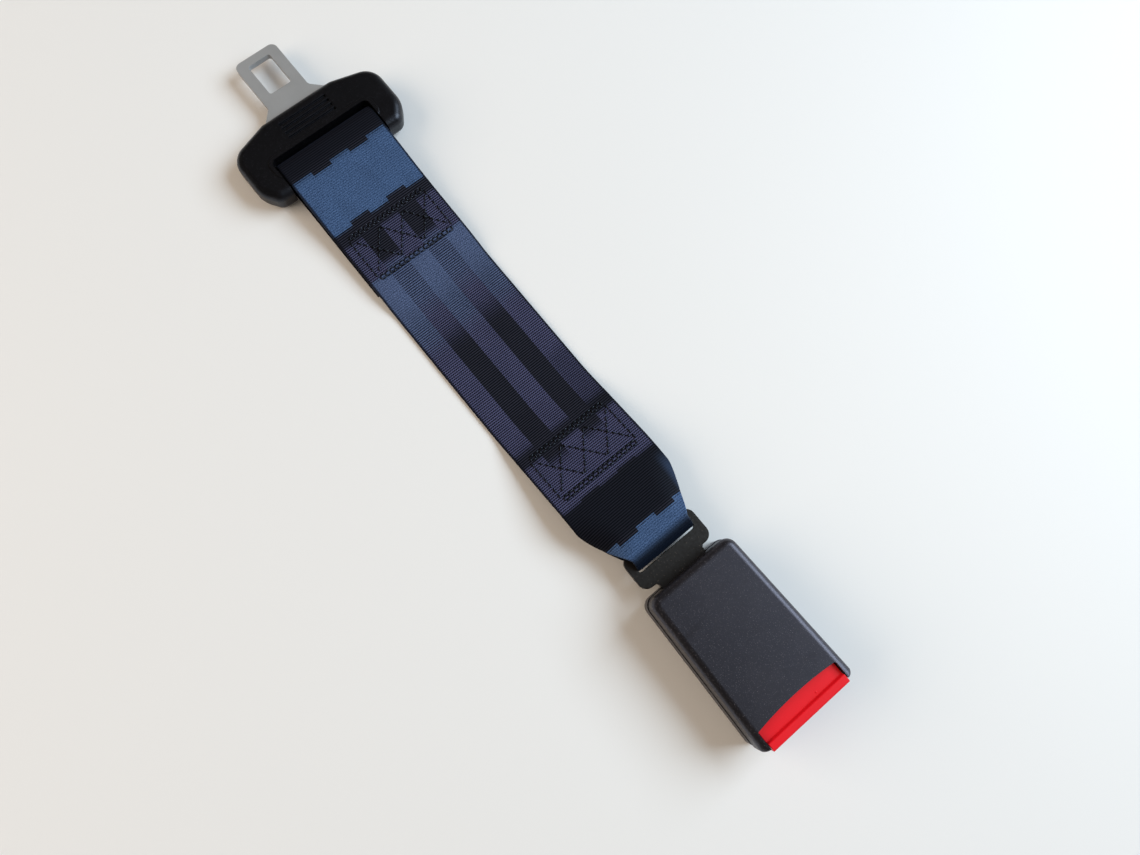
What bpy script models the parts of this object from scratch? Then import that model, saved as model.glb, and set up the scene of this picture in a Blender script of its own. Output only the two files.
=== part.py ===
"""Seat belt extender: a strap of webbing with a steel tongue at one end and a push-button buckle at the other.

X runs along the strap from the tongue (-X) to the buckle (+X), Y across it and Z up. The origin is on the
surface that the extender lies on, under the middle of its length. Every length is in metres.
"""
import math

import bmesh
import bpy
from mathutils import Matrix, Vector

# Fits
CLEARANCE = 0.0003
THREAD_CLEARANCE = 0.0001

# Webbing
WEB_WIDTH = 0.0475
WEB_THICKNESS = 0.0012
LAYER_GAP = 0.0003
BAR_SPAN = 0.2204
TAIL_RISE = 0.0008
SETTLE_LENGTH = 0.0150
WEB_COLUMNS = 8
RUN_ROWS = 11
LOOP_ROWS = 10

# Sewn boxes
SEAM_LENGTH = 0.0236
SEAM_EDGE = 0.0040
SEAM_MARGIN = 0.0041
TONGUE_SEAM_SETBACK = 0.0392
TONGUE_SEAM_RISE = 0.0029
BUCKLE_SEAM_SETBACK = 0.0350
BUCKLE_SEAM_RISE = 0.0061
ROW_SPACING = 0.0019
CROSSED_CELLS = 3
THREAD_RADIUS = 0.0002
THREAD_CORNER = 0.0006
THREAD_STEP = 0.0120
THREAD_HOP = 0.0012

# Gathered end of the webbing, at the anchor plate
GATHER_WIDTH = 0.0280
GATHER_LENGTH = 0.0220
GATHER_SHAPE = 1.3
CURL_DEPTH = 0.0028
CURL_END = 0.0065

# Tongue plate
BLADE_LENGTH = 0.0323
BLADE_WIDTH = 0.0210
PLATE_THICKNESS = 0.0028
TIP_RADIUS = 0.0030
TIP_BAR = 0.0039
WINDOW_LENGTH = 0.0170
WINDOW_WIDTH = 0.0112
WINDOW_RADIUS = 0.0012
FLARE_SHOWN = 0.0059
EYE_SKIN = 0.0016
EYE_ARM = 0.0045
EYE_BEAM = 0.0120
PLATE_EDGE = 0.0005

# Tongue cover
COVER_BODY = 0.0182
COVER_FRONT_WIDTH = 0.0356
COVER_SWEEP = 0.0058
LOBE_WIDTH = 0.0124
LOBE_LENGTH = 0.0104
LOBE_SHOULDER = 0.0025
LOBE_TAPER = 0.0054
COVER_EDGE = 0.0038
COVER_NOSE_CORNER = 0.0060
COVER_FRONT_CORNER = 0.0090
COVER_SIDE_CORNER = 0.0120
COVER_REAR_CORNER = 0.0046
WEB_BAR_RADIUS = 0.0040
WEB_SLOT_FRONT = 0.0006
WEB_SLOT_SIDE = 0.0013
SLOT_CORNER = 0.0025
LIP_WIDTH = 0.0018
LIP_RISE = 0.0004
GROOVE_COUNT = 4
GROOVE_PITCH = 0.0025
GROOVE_WIDTH = 0.0014
GROOVE_DEPTH = 0.0010
GROOVE_LENGTH = 0.0245
GROOVE_SETBACK = 0.0059

# Anchor plate
ANCHOR_THICKNESS = 0.0026
ANCHOR_BAR = 0.0060
ANCHOR_LOOP_GAP = 0.0004
ANCHOR_SLOT_END = 0.0007
ANCHOR_SLOT_SIDE = 0.0006
ANCHOR_ARM = 0.0033
ANCHOR_LAND = 0.0072
ANCHOR_CORNER = 0.0040
NECK_SHOWN = 0.0027
NECK_SIDE = 0.0016
NECK_OVERHANG = 0.0077

# Buckle covers
BUCKLE_REAR_WIDTH = 0.0419
BUCKLE_FRONT_WIDTH = 0.0466
BUCKLE_HEIGHT = 0.0205
SHELL_WALL = 0.0020
SHELL_ROOF = 0.0017
SHELL_ARM = 0.0036
SPLIT_HEIGHT = 0.0089
SHELL_CORNER = 0.0045
TOP_FRONT_ROUNDING = 0.45
LOWER_FRONT_ROUNDING = 0.9
TOP_EDGE = 0.0034
BOTTOM_EDGE = 0.0018
LOWER_STEP = 0.0003
ARC_SETBACK = 0.0089
ARC_SAGITTA = 0.0013
ARC_CHORDS = 10
BAY_CORNER = 0.0007

# Release button
BUTTON_PROUD = 0.0015
BUTTON_LIP = 0.0035
BUTTON_LIP_DROP = 0.0003
BUTTON_BODY = 0.0107
BUTTON_TUCK = 0.0054
BUTTON_TRAVEL = 0.0050
BUTTON_ARM_LENGTH = 0.0126
BUTTON_ARM_WIDTH = 0.0032
BUTTON_ARM_HEIGHT = 0.0043
BUTTON_EDGE = 0.0010

# Latch works inside the buckle
FRAME_THICKNESS = 0.0024
FRAME_SIDE = 0.0007
FRAME_SETBACK = 0.0022
FRAME_FRONT_SETBACK = 0.0075
FRAME_WALL_REAR = 0.0100
FRAME_CORNER = 0.0030
MOUTH_SIDE = 0.0022
MOUTH_OVER = 0.0016
PIN_RADIUS = 0.0012
KNUCKLE_RADIUS = 0.0024
LATCH_THICKNESS = 0.0020
LATCH_WIDTH = 0.0160
LATCH_REACH = 0.0265
NOSE_SIDE = 0.0008
NOSE_LENGTH = 0.0030
NOSE_SETBACK = 0.0217
EJECTOR_LENGTH = 0.0140
EJECTOR_WIDTH = 0.0196
EJECTOR_HEIGHT = 0.0036
EJECTOR_LEAD = 0.0015
EJECTOR_TRAVEL = 0.0090
EJECTOR_SPRING_SOLID = 0.0090
RAMP_LENGTH = 0.0054
RAMP_DROP = 0.0027
LOCK_THICKNESS = 0.0014
LOCK_LENGTH = 0.0290
LOCK_SLOT_LENGTH = 0.0100
LOCK_SLOT_WIDTH = 0.0080
LOCK_CORNER = 0.0015
RIVET_RADIUS = 0.0039
RIVET_HEAD_RADIUS = 0.0060
RIVET_HEAD_HEIGHT = 0.0013
RIVET_ROOM = 0.0026
RIVET_SETBACK = 0.0093
SPRING_WIRE = 0.0005
EJECTOR_SPRING_RADIUS = 0.0017
BUTTON_SPRING_RADIUS = 0.0015
BUTTON_SPRING_SOLID = 0.0107
SPRING_RIB = 0.0030
PAD_LENGTH = 0.0040
PAD_WIDTH = 0.0220
PAD_SETBACK = 0.0050

# Loops and slots that the webbing sets
LAYER_PITCH = WEB_THICKNESS + LAYER_GAP
REST_Z = WEB_THICKNESS / 2
TAIL_Z = REST_Z + TAIL_RISE
TONGUE_SEAM_Z = REST_Z + TONGUE_SEAM_RISE
BUCKLE_SEAM_Z = REST_Z + BUCKLE_SEAM_RISE
SEAM_WIDTH = WEB_WIDTH - 2 * SEAM_EDGE
TONGUE_LOOP_RADIUS = WEB_BAR_RADIUS + CLEARANCE + WEB_THICKNESS / 2
ANCHOR_BAR_REACH = math.hypot(ANCHOR_BAR, ANCHOR_THICKNESS) / 2
ANCHOR_LOOP_RADIUS = ANCHOR_BAR_REACH + ANCHOR_LOOP_GAP + WEB_THICKNESS / 2
ANCHOR_SLOT = ANCHOR_LOOP_RADIUS + WEB_THICKNESS / 2 + ANCHOR_SLOT_END - ANCHOR_BAR / 2
ANCHOR_SLOT_WIDTH = GATHER_WIDTH + 2 * ANCHOR_SLOT_SIDE
ANCHOR_WIDTH = ANCHOR_SLOT_WIDTH + 2 * ANCHOR_ARM
WEB_SLOT = CLEARANCE + WEB_THICKNESS + WEB_SLOT_FRONT
WEB_SLOT_WIDTH = WEB_WIDTH + 2 * WEB_SLOT_SIDE
EYE_BAR = 2 * (WEB_BAR_RADIUS - EYE_SKIN)
COVER_WIDTH = WEB_SLOT_WIDTH + 2 * LOBE_WIDTH
COVER_HEIGHT = 2 * (WEB_BAR_RADIUS + CLEARANCE + WEB_THICKNESS)

# Widths inside the buckle
BUTTON_WIDTH = BUCKLE_FRONT_WIDTH - 2 * SHELL_ARM
BUTTON_BAY_WIDTH = BUTTON_WIDTH + 2 * CLEARANCE
BUTTON_ARM_Y = (BUTTON_WIDTH - BUTTON_ARM_WIDTH) / 2 - CLEARANCE
FRAME_WIDTH = 2 * BUTTON_ARM_Y - BUTTON_ARM_WIDTH - 2 * FRAME_SIDE
FRAME_INSIDE = FRAME_WIDTH - 2 * FRAME_THICKNESS
NECK_WIDTH = FRAME_INSIDE - 2 * NECK_SIDE
MOUTH_WIDTH = BLADE_WIDTH + 2 * MOUTH_SIDE
NOSE_WIDTH = WINDOW_WIDTH - 2 * NOSE_SIDE

# Places along X. The buckle is as long as the works inside it need.
BUTTON_SPRING_LENGTH = BUTTON_TRAVEL + BUTTON_SPRING_SOLID
EJECTOR_SPRING_LENGTH = EJECTOR_TRAVEL + EJECTOR_SPRING_SOLID
EJECTOR_SETBACK = RIVET_SETBACK + NECK_OVERHANG + EJECTOR_SPRING_LENGTH
BUCKLE_LENGTH = EJECTOR_SETBACK + EJECTOR_LENGTH - EJECTOR_LEAD + NOSE_SETBACK
TONGUE_REACH = WEB_BAR_RADIUS + WEB_SLOT + COVER_BODY + BLADE_LENGTH
ANCHOR_REACH = ANCHOR_BAR / 2 + ANCHOR_SLOT + ANCHOR_LAND + NECK_SHOWN
BUCKLE_REACH = ANCHOR_REACH + BUCKLE_LENGTH + BUTTON_PROUD
TIP_X = -(TONGUE_REACH + BAR_SPAN + BUCKLE_REACH) / 2
WEB_BAR_X = TIP_X + TONGUE_REACH
SLOT_FRONT_X = WEB_BAR_X - WEB_BAR_RADIUS - WEB_SLOT
COVER_FRONT_X = SLOT_FRONT_X - COVER_BODY
ANCHOR_BAR_X = WEB_BAR_X + BAR_SPAN
ANCHOR_SLOT_X = ANCHOR_BAR_X + ANCHOR_BAR / 2
SHOULDER_X = ANCHOR_SLOT_X + ANCHOR_SLOT + ANCHOR_LAND
BUCKLE_REAR_X = ANCHOR_BAR_X + ANCHOR_REACH
BUCKLE_FRONT_X = BUCKLE_REAR_X + BUCKLE_LENGTH
BUTTON_FRONT_X = BUCKLE_FRONT_X + BUTTON_PROUD
BUTTON_REAR_X = BUTTON_FRONT_X - BUTTON_BODY
BUTTON_TUCK_X = BUTTON_REAR_X - BUTTON_TUCK
BUTTON_ARM_X = BUTTON_REAR_X - BUTTON_ARM_LENGTH
FRAME_REAR_X = BUCKLE_REAR_X + FRAME_SETBACK
FRAME_FRONT_X = BUCKLE_FRONT_X - FRAME_FRONT_SETBACK
FRAME_WALL_X = BUTTON_REAR_X - BUTTON_TRAVEL - 2 * CLEARANCE
RIVET_X = BUCKLE_REAR_X + RIVET_SETBACK
NECK_END_X = RIVET_X + NECK_OVERHANG
EJECTOR_REAR_X = BUCKLE_REAR_X + EJECTOR_SETBACK
EJECTOR_FRONT_X = EJECTOR_REAR_X + EJECTOR_LENGTH
NOSE_FRONT_X = EJECTOR_FRONT_X - EJECTOR_LEAD
NOSE_REAR_X = NOSE_FRONT_X - NOSE_LENGTH
PIN_X = NOSE_FRONT_X - LATCH_REACH
TONGUE_SEAM_X = WEB_BAR_X + TONGUE_SEAM_SETBACK
TONGUE_TAIL_X = TONGUE_SEAM_X + SEAM_LENGTH + SEAM_MARGIN
BUCKLE_SEAM_X = ANCHOR_BAR_X - BUCKLE_SEAM_SETBACK
BUCKLE_TAIL_X = BUCKLE_SEAM_X - SEAM_LENGTH - SEAM_MARGIN

# Heights
WEB_BAR_Z = COVER_HEIGHT / 2
FRAME_BASE = SHELL_WALL + RIVET_ROOM
FRAME_TOP = FRAME_BASE + FRAME_THICKNESS
ANCHOR_Z = FRAME_TOP + CLEARANCE + ANCHOR_THICKNESS / 2
MOUTH_TOP = FRAME_TOP + PLATE_THICKNESS + MOUTH_OVER
SHELL_CEILING = BUCKLE_HEIGHT - SHELL_ROOF
LOCK_BASE = SHELL_CEILING - LOCK_THICKNESS - 2 * CLEARANCE
FRAME_WALL_TOP = LOCK_BASE - CLEARANCE
LATCH_BASE = FRAME_WALL_TOP - LATCH_THICKNESS
PIN_HEIGHT = FRAME_WALL_TOP - KNUCKLE_RADIUS
BUTTON_TOP = SHELL_CEILING - CLEARANCE
BUTTON_BASE = MOUTH_TOP + 2 * CLEARANCE
BUTTON_LIP_TOP = BUCKLE_HEIGHT - BUTTON_LIP_DROP
BUTTON_ARM_Z = BUTTON_BASE + BUTTON_ARM_HEIGHT / 2 + CLEARANCE
EJECTOR_BASE = FRAME_TOP + CLEARANCE
EJECTOR_TOP = EJECTOR_BASE + EJECTOR_HEIGHT
NOSE_BASE = EJECTOR_TOP + CLEARANCE

FLAT_ANGLE = math.radians(1)
SHARP_ANGLE = math.radians(35)
ARC_STEP = math.radians(24)
DOME_STEPS = 4
WELD = 0.000002
TALL = 5 * BUCKLE_HEIGHT
FULL_ROUND = 0.999


def clear_scene():
    for item in list(bpy.data.objects):
        bpy.data.objects.remove(item)


def new_collection(name):
    collection = bpy.data.collections.new(name)
    bpy.context.scene.collection.children.link(collection)
    return collection


def make_material(name, colour, roughness, metallic=0.0):
    material = bpy.data.materials.new(name)
    material.use_nodes = True
    shader = material.node_tree.nodes["Principled BSDF"]
    shader.inputs["Base Color"].default_value = (*colour, 1.0)
    shader.inputs["Roughness"].default_value = roughness
    shader.inputs["Metallic"].default_value = metallic
    material.diffuse_color = (*colour, 1.0)
    return material


# Outlines


def fillet(corners, closed=True):
    """Points of an outline whose corners (x, y, radius) are rounded with arcs."""
    points = []
    count = len(corners)
    for index, (x, y, radius) in enumerate(corners):
        here = Vector((x, y))
        at_end = not closed and index in (0, count - 1)
        if radius <= 0 or at_end:
            points.append(here)
            continue
        before = (Vector(corners[index - 1][:2]) - here).normalized()
        after = (Vector(corners[(index + 1) % count][:2]) - here).normalized()
        half = before.angle(after) / 2
        reach = radius / math.tan(half)
        centre = here + (before + after).normalized() * radius / math.sin(half)
        start = here + before * reach - centre
        turn = start.angle_signed(here + after * reach - centre)
        steps = max(2, math.ceil(abs(turn) / ARC_STEP))
        for step in range(steps + 1):
            points.append(centre + Matrix.Rotation(-turn * step / steps, 2) @ start)
    return points


def mirrored(half):
    """A closed outline from its +Y half, which starts and ends near the X axis."""
    return half + [(x, -y, radius) for x, y, radius in reversed(half)]


def rectangle(x0, x1, y0, y1, radius=0.0):
    return [(x0, y0, radius), (x0, y1, radius), (x1, y1, radius), (x1, y0, radius)]


def curve_mesh(curve):
    """The closed mesh of a curve, with its caps welded and its flat faces merged."""
    holder = bpy.data.objects.new("outline", curve)
    bpy.context.scene.collection.objects.link(holder)
    evaluated = holder.evaluated_get(bpy.context.evaluated_depsgraph_get())
    mesh = bpy.data.meshes.new_from_object(evaluated)
    bpy.data.objects.remove(holder)
    bm = bmesh.new()
    bm.from_mesh(mesh)
    bmesh.ops.remove_doubles(bm, verts=bm.verts, dist=WELD)
    bmesh.ops.recalc_face_normals(bm, faces=bm.faces)
    bm.to_mesh(mesh)
    bm.free()
    return mesh


def plate_mesh(outlines, bottom, top):
    """A flat plate between two heights. The first outline is its edge, the others are holes."""
    curve = bpy.data.curves.new("outline", "CURVE")
    curve.dimensions = "2D"
    curve.fill_mode = "BOTH"
    curve.extrude = (top - bottom) / 2
    for outline in outlines:
        points = fillet(outline)
        spline = curve.splines.new("POLY")
        spline.points.add(len(points) - 1)
        for slot, point in zip(spline.points, points):
            slot.co = (point.x, point.y, 0, 1)
        spline.use_cyclic_u = True
    mesh = curve_mesh(curve)
    bm = bmesh.new()
    bm.from_mesh(mesh)
    bmesh.ops.dissolve_limit(bm, angle_limit=FLAT_ANGLE, verts=bm.verts, edges=bm.edges)
    bm.to_mesh(mesh)
    bm.free()
    mesh.transform(Matrix.Translation((0, 0, (top + bottom) / 2)))
    return mesh


def profile_mesh(outlines, y0, y1):
    """A plate whose outlines are drawn in X and Z, between two places across the strap."""
    mesh = plate_mesh(outlines, -y1, -y0)
    mesh.transform(Matrix.Rotation(math.radians(90), 4, "X"))
    return mesh


def block_mesh(x0, x1, y0, y1, z0, z1):
    bm = bmesh.new()
    bmesh.ops.create_cube(bm, size=1.0)
    size = Matrix.Diagonal((x1 - x0, y1 - y0, z1 - z0, 1))
    centre = Matrix.Translation(((x0 + x1) / 2, (y0 + y1) / 2, (z0 + z1) / 2))
    bmesh.ops.transform(bm, matrix=centre @ size, verts=bm.verts)
    mesh = bpy.data.meshes.new("block")
    bm.to_mesh(mesh)
    bm.free()
    return mesh


def rod_mesh(x, z, radius, length, segments=28):
    """A round rod across the strap."""
    bm = bmesh.new()
    bmesh.ops.create_cone(
        bm, cap_ends=True, segments=segments, radius1=radius, radius2=radius, depth=length)
    turn = Matrix.Rotation(math.radians(90), 4, "X")
    bmesh.ops.transform(bm, matrix=Matrix.Translation((x, 0, z)) @ turn, verts=bm.verts)
    mesh = bpy.data.meshes.new("rod")
    bm.to_mesh(mesh)
    bm.free()
    return mesh


def round_edges(mesh, width, segments, chosen):
    """Rounds the sharp edges for which chosen(middle of the edge) is true."""
    bm = bmesh.new()
    bm.from_mesh(mesh)
    edges = []
    for edge in bm.edges:
        middle = (edge.verts[0].co + edge.verts[1].co) / 2
        if edge.calc_face_angle(0) > SHARP_ANGLE and chosen(middle):
            edges.append(edge)
    bmesh.ops.bevel(
        bm, geom=edges, offset=width, offset_type="OFFSET", segments=segments, profile=0.5,
        affect="EDGES", clamp_overlap=True)
    bm.to_mesh(mesh)
    bm.free()


def inset_corners(corners, depth):
    """The corners of a convex outline moved inwards, with radii that are smaller by as much."""
    places = [Vector((x, y)) for x, y, radius in corners]
    following = places[1:] + places[:1]
    turning = sum(here.x * after.y - after.x * here.y for here, after in zip(places, following))
    inward = 1 if turning > 0 else -1
    moved = []
    for index, here in enumerate(places):
        before = here - places[index - 1]
        after = following[index] - here
        first = Vector((-before.y, before.x)).normalized() * inward
        second = Vector((-after.y, after.x)).normalized() * inward
        corner = here + (first + second) * depth / (1 + first.dot(second))
        moved.append((corner.x, corner.y, corners[index][2] - depth))
    return moved


def dome_mesh(outline, bottom, top, low_edge, high_edge):
    """A plate with round edges. outline(depth) gives its corners at a depth inside its widest outline."""
    rings = []
    for share in spaced(0, 1, DOME_STEPS) if low_edge else (1,):
        turn = share * math.pi / 2
        rings.append((low_edge * (1 - math.sin(turn)), bottom + low_edge * (1 - math.cos(turn))))
    for share in spaced(0, 1, DOME_STEPS) if high_edge else (0,):
        turn = share * math.pi / 2
        rings.append((high_edge * (1 - math.cos(turn)), top - high_edge * (1 - math.sin(turn))))
    bm = bmesh.new()
    rows = []
    for depth, height in rings:
        rows.append([bm.verts.new((point.x, point.y, height)) for point in fillet(outline(depth))])
    count = len(rows[0])
    for first, second in zip(rows, rows[1:]):
        for index in range(count):
            after = (index + 1) % count
            bm.faces.new((first[index], first[after], second[after], second[index]))
    bm.faces.new(rows[0])
    bm.faces.new(rows[-1])
    bmesh.ops.recalc_face_normals(bm, faces=bm.faces)
    mesh = bpy.data.meshes.new("dome")
    bm.to_mesh(mesh)
    bm.free()
    return mesh


def tube_mesh(points, radius):
    curve = bpy.data.curves.new("tube", "CURVE")
    curve.dimensions = "3D"
    curve.bevel_depth = radius
    curve.bevel_resolution = 2
    curve.use_fill_caps = True
    spline = curve.splines.new("POLY")
    spline.points.add(len(points) - 1)
    for slot, point in zip(spline.points, points):
        slot.co = (*point, 1)
    return curve_mesh(curve)


# Objects


def add_part(name, mesh, material, origin=(0, 0, 0), parent=None):
    """An object at its place, with its origin at a point that is given in the extender's frame."""
    mesh.transform(Matrix.Translation(-Vector(origin)))
    mesh.materials.clear()
    mesh.materials.append(material)
    mesh.shade_smooth()
    mesh.set_sharp_from_angle(angle=SHARP_ANGLE)
    mesh.name = name
    part = bpy.data.objects.new(name, mesh)
    PARTS.objects.link(part)
    part.location = origin
    if parent:
        part.parent = parent
        part.location = Vector(origin) - parent.location
    return part


def add_pivot(name, location):
    pivot = bpy.data.objects.new(name, None)
    PARTS.objects.link(pivot)
    pivot.empty_display_size = 0.01
    pivot.location = location
    return pivot


def combine(part, name, mesh, operation):
    tool = bpy.data.objects.new(name, mesh)
    CUTTERS.objects.link(tool)
    tool.hide_render = True
    tool.display_type = "WIRE"
    boolean = part.modifiers.new(name, "BOOLEAN")
    boolean.operation = operation
    boolean.object = tool
    boolean.solver = "EXACT"


def cut(part, name, mesh):
    combine(part, name, mesh, "DIFFERENCE")


def join(part, name, mesh):
    combine(part, name, mesh, "UNION")


# Webbing's route


def smooth_height(knots, x):
    """Height at x of a smooth curve through (x, z) knots. It never rises above or dips below them."""
    slopes = [0.0]
    for before, here, after in zip(knots, knots[1:], knots[2:]):
        rise = (here[1] - before[1]) / (here[0] - before[0])
        fall = (after[1] - here[1]) / (after[0] - here[0])
        slopes.append(2 * rise * fall / (rise + fall) if rise * fall > 0 else 0.0)
    slopes.append(0.0)
    for index in range(len(knots) - 1):
        x0, z0 = knots[index]
        x1, z1 = knots[index + 1]
        if x <= x1 or index == len(knots) - 2:
            return hermite(x0, z0, slopes[index], x1, z1, slopes[index + 1], x)


def hermite(x0, z0, slope0, x1, z1, slope1, x):
    span = x1 - x0
    t = (x - x0) / span
    start = (1 + 2 * t) * (1 - t) ** 2 * z0 + t * (1 - t) ** 2 * span * slope0
    end = t * t * (3 - 2 * t) * z1 + t * t * (t - 1) * span * slope1
    return start + end


def upper_height(x):
    """Height of the middle of the upper layer, from one bar to the other."""
    knots = [
        (WEB_BAR_X, WEB_BAR_Z + TONGUE_LOOP_RADIUS),
        (TONGUE_SEAM_X, TONGUE_SEAM_Z + LAYER_PITCH),
        (TONGUE_TAIL_X, TAIL_Z + LAYER_PITCH),
        (TONGUE_TAIL_X + SETTLE_LENGTH, REST_Z),
        (BUCKLE_TAIL_X - SETTLE_LENGTH, REST_Z),
        (BUCKLE_TAIL_X, TAIL_Z + LAYER_PITCH),
        (BUCKLE_SEAM_X, BUCKLE_SEAM_Z + LAYER_PITCH),
        (ANCHOR_BAR_X, ANCHOR_Z + ANCHOR_LOOP_RADIUS),
    ]
    return smooth_height(knots, x)


def lower_height(x):
    """Height of the middle of the layer that is folded back: parallel where it is sewn, then down to its bar."""
    if TONGUE_SEAM_X <= x <= BUCKLE_SEAM_X:
        return upper_height(x) - LAYER_PITCH
    if x < TONGUE_SEAM_X:
        seam_x, bar_x, bar_z = TONGUE_SEAM_X, WEB_BAR_X, WEB_BAR_Z - TONGUE_LOOP_RADIUS
    else:
        seam_x, bar_x, bar_z = BUCKLE_SEAM_X, ANCHOR_BAR_X, ANCHOR_Z - ANCHOR_LOOP_RADIUS
    step = 0.0001 if bar_x < seam_x else -0.0001
    slope = (upper_height(seam_x + step) - upper_height(seam_x)) / step
    return hermite(seam_x, upper_height(seam_x) - LAYER_PITCH, slope, bar_x, bar_z, 0.0, x)


def web_half_width(x):
    """Half of the webbing's width: whole, then gathered towards the anchor plate."""
    gather = (x - (ANCHOR_BAR_X - GATHER_LENGTH)) / GATHER_LENGTH
    gather = min(max(gather, 0.0), 1.0)
    return (WEB_WIDTH - (WEB_WIDTH - GATHER_WIDTH) * gather ** GATHER_SHAPE) / 2


def curl(x):
    """How far the webbing's edges turn towards the other layer beside the anchor plate."""
    start = ANCHOR_BAR_X - GATHER_LENGTH - CURL_END
    t = (x - start) / (ANCHOR_BAR_X - CURL_END - start)
    if not 0.0 < t < 1.0:
        return 0.0
    return CURL_DEPTH * math.sin(math.pi * t) ** 2


def spaced(start, end, count):
    return [start + (end - start) * index / count for index in range(count + 1)]


def loop_stations(bar_x, bar_z, radius, side):
    """Rows around a bar, from under it to over it. Side is -1 at the tongue and 1 at the anchor plate."""
    stations = []
    for angle in spaced(-90, 90, LOOP_ROWS)[1:-1]:
        x = bar_x + side * radius * math.cos(math.radians(angle))
        z = bar_z + radius * math.sin(math.radians(angle))
        stations.append((x, z, web_half_width(bar_x), 0.0))
    return stations


def web_stations():
    """Rows (x, z, half width, curl) from one sewn tail to the other, as the strap is threaded."""
    sewn = spaced(TONGUE_TAIL_X, TONGUE_SEAM_X, RUN_ROWS // 2)
    under_tongue = sewn + spaced(TONGUE_SEAM_X, WEB_BAR_X, RUN_ROWS // 2)[1:]
    stations = [(x, lower_height(x), web_half_width(x), 0.0) for x in under_tongue]
    stations += loop_stations(WEB_BAR_X, WEB_BAR_Z, TONGUE_LOOP_RADIUS, -1)
    over = spaced(WEB_BAR_X, TONGUE_SEAM_X, RUN_ROWS)
    over += spaced(TONGUE_SEAM_X, TONGUE_TAIL_X, RUN_ROWS // 2)[1:]
    over += spaced(TONGUE_TAIL_X, TONGUE_TAIL_X + SETTLE_LENGTH, RUN_ROWS // 2)[1:]
    over += spaced(BUCKLE_TAIL_X - SETTLE_LENGTH, BUCKLE_TAIL_X, RUN_ROWS // 2)
    over += spaced(BUCKLE_TAIL_X, BUCKLE_SEAM_X, RUN_ROWS // 2)[1:]
    over += spaced(BUCKLE_SEAM_X, ANCHOR_BAR_X, RUN_ROWS)[1:]
    stations += [(x, upper_height(x), web_half_width(x), -curl(x)) for x in over]
    around = loop_stations(ANCHOR_BAR_X, ANCHOR_Z, ANCHOR_LOOP_RADIUS, 1)
    stations += list(reversed(around))
    back = spaced(ANCHOR_BAR_X, BUCKLE_SEAM_X, RUN_ROWS)
    back += spaced(BUCKLE_SEAM_X, BUCKLE_TAIL_X, RUN_ROWS // 2)[1:]
    stations += [(x, lower_height(x), web_half_width(x), curl(x) / 4) for x in back]
    return stations


def build_webbing():
    stations = web_stations()
    rows = len(stations) - 1
    bm = bmesh.new()
    bmesh.ops.create_grid(bm, x_segments=rows, y_segments=WEB_COLUMNS, size=0.5)
    for vert in bm.verts:
        x, z, half_width, bend = stations[round((vert.co.x + 0.5) * rows)]
        across = 2 * vert.co.y
        vert.co = (x, across * half_width, z + bend * abs(across) ** 3)
    mesh = bpy.data.meshes.new("webbing")
    bm.to_mesh(mesh)
    bm.free()
    webbing = add_part("webbing", mesh, MATERIALS["webbing"])
    solidify = webbing.modifiers.new("cloth", "SOLIDIFY")
    solidify.thickness = WEB_THICKNESS
    solidify.offset = 0.0
    solidify.use_even_offset = True


# Stitching


def seam_route(near_x, far_x):
    """Corners of one sewn box as (x, y, radius, share of a hop over another thread).

    A doubled row at each end and a side go first. A zigzag follows, then the other side and a zigzag that
    crosses the first one.
    """
    side = SEAM_WIDTH / 2
    row = ROW_SPACING if far_x > near_x else -ROW_SPACING
    low = near_x + 2 * row
    high = far_x - 2 * row
    perimeter = [
        (near_x + row, ROW_SPACING - side),
        (near_x + row, side - ROW_SPACING),
        (near_x, side - ROW_SPACING / 2),
        (near_x, -side),
        (far_x, -side),
        (far_x, side - ROW_SPACING / 2),
        (far_x - row, side - ROW_SPACING),
        (far_x - row, ROW_SPACING - side),
    ]
    rungs = spaced(ROW_SPACING - side, side, CROSSED_CELLS)
    out = [(high if index % 2 == 0 else low, y) for index, y in enumerate(rungs)]
    back = [(high if index % 2 == 0 else low, y) for index, y in enumerate(reversed(rungs))]
    route = [(x, y, THREAD_CORNER, 0) for x, y in perimeter + out]
    for (x0, y0), (x1, y1) in zip(back, back[1:]):
        route.append((x0, y0, THREAD_CORNER, 0))
        hop = THREAD_HOP / abs(x1 - x0)
        for share, lift in ((0.5 - 2 * hop, 0), (0.5 - hop, 1), (0.5 + hop, 1), (0.5 + 2 * hop, 0)):
            route.append((x0 + (x1 - x0) * share, y0 + (y1 - y0) * share, 0.0, lift))
    route.append((*back[-1], THREAD_CORNER, 0))
    return route


def build_thread(name, near_x, far_x, height, outward):
    """One thread as it lies on the webbing, with height(x) giving the middle of the thread."""
    route = seam_route(near_x, far_x)
    hops = [Vector((x, y)) for x, y, _, lift in route if lift]
    lift = outward * (2 * THREAD_RADIUS + THREAD_CLEARANCE)
    flat = fillet([corner[:3] for corner in route], closed=False)
    points = []
    for start, end in zip(flat, flat[1:]):
        pieces = max(1, round((end - start).length / THREAD_STEP))
        for piece in range(pieces):
            spot = start.lerp(end, piece / pieces)
            raised = any((spot - hop).length < WELD for hop in hops)
            points.append((spot.x, spot.y, height(spot.x) + (lift if raised else 0.0)))
    points.append((flat[-1].x, flat[-1].y, height(flat[-1].x)))
    add_part(name, tube_mesh(points, THREAD_RADIUS), MATERIALS["thread"])


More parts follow.
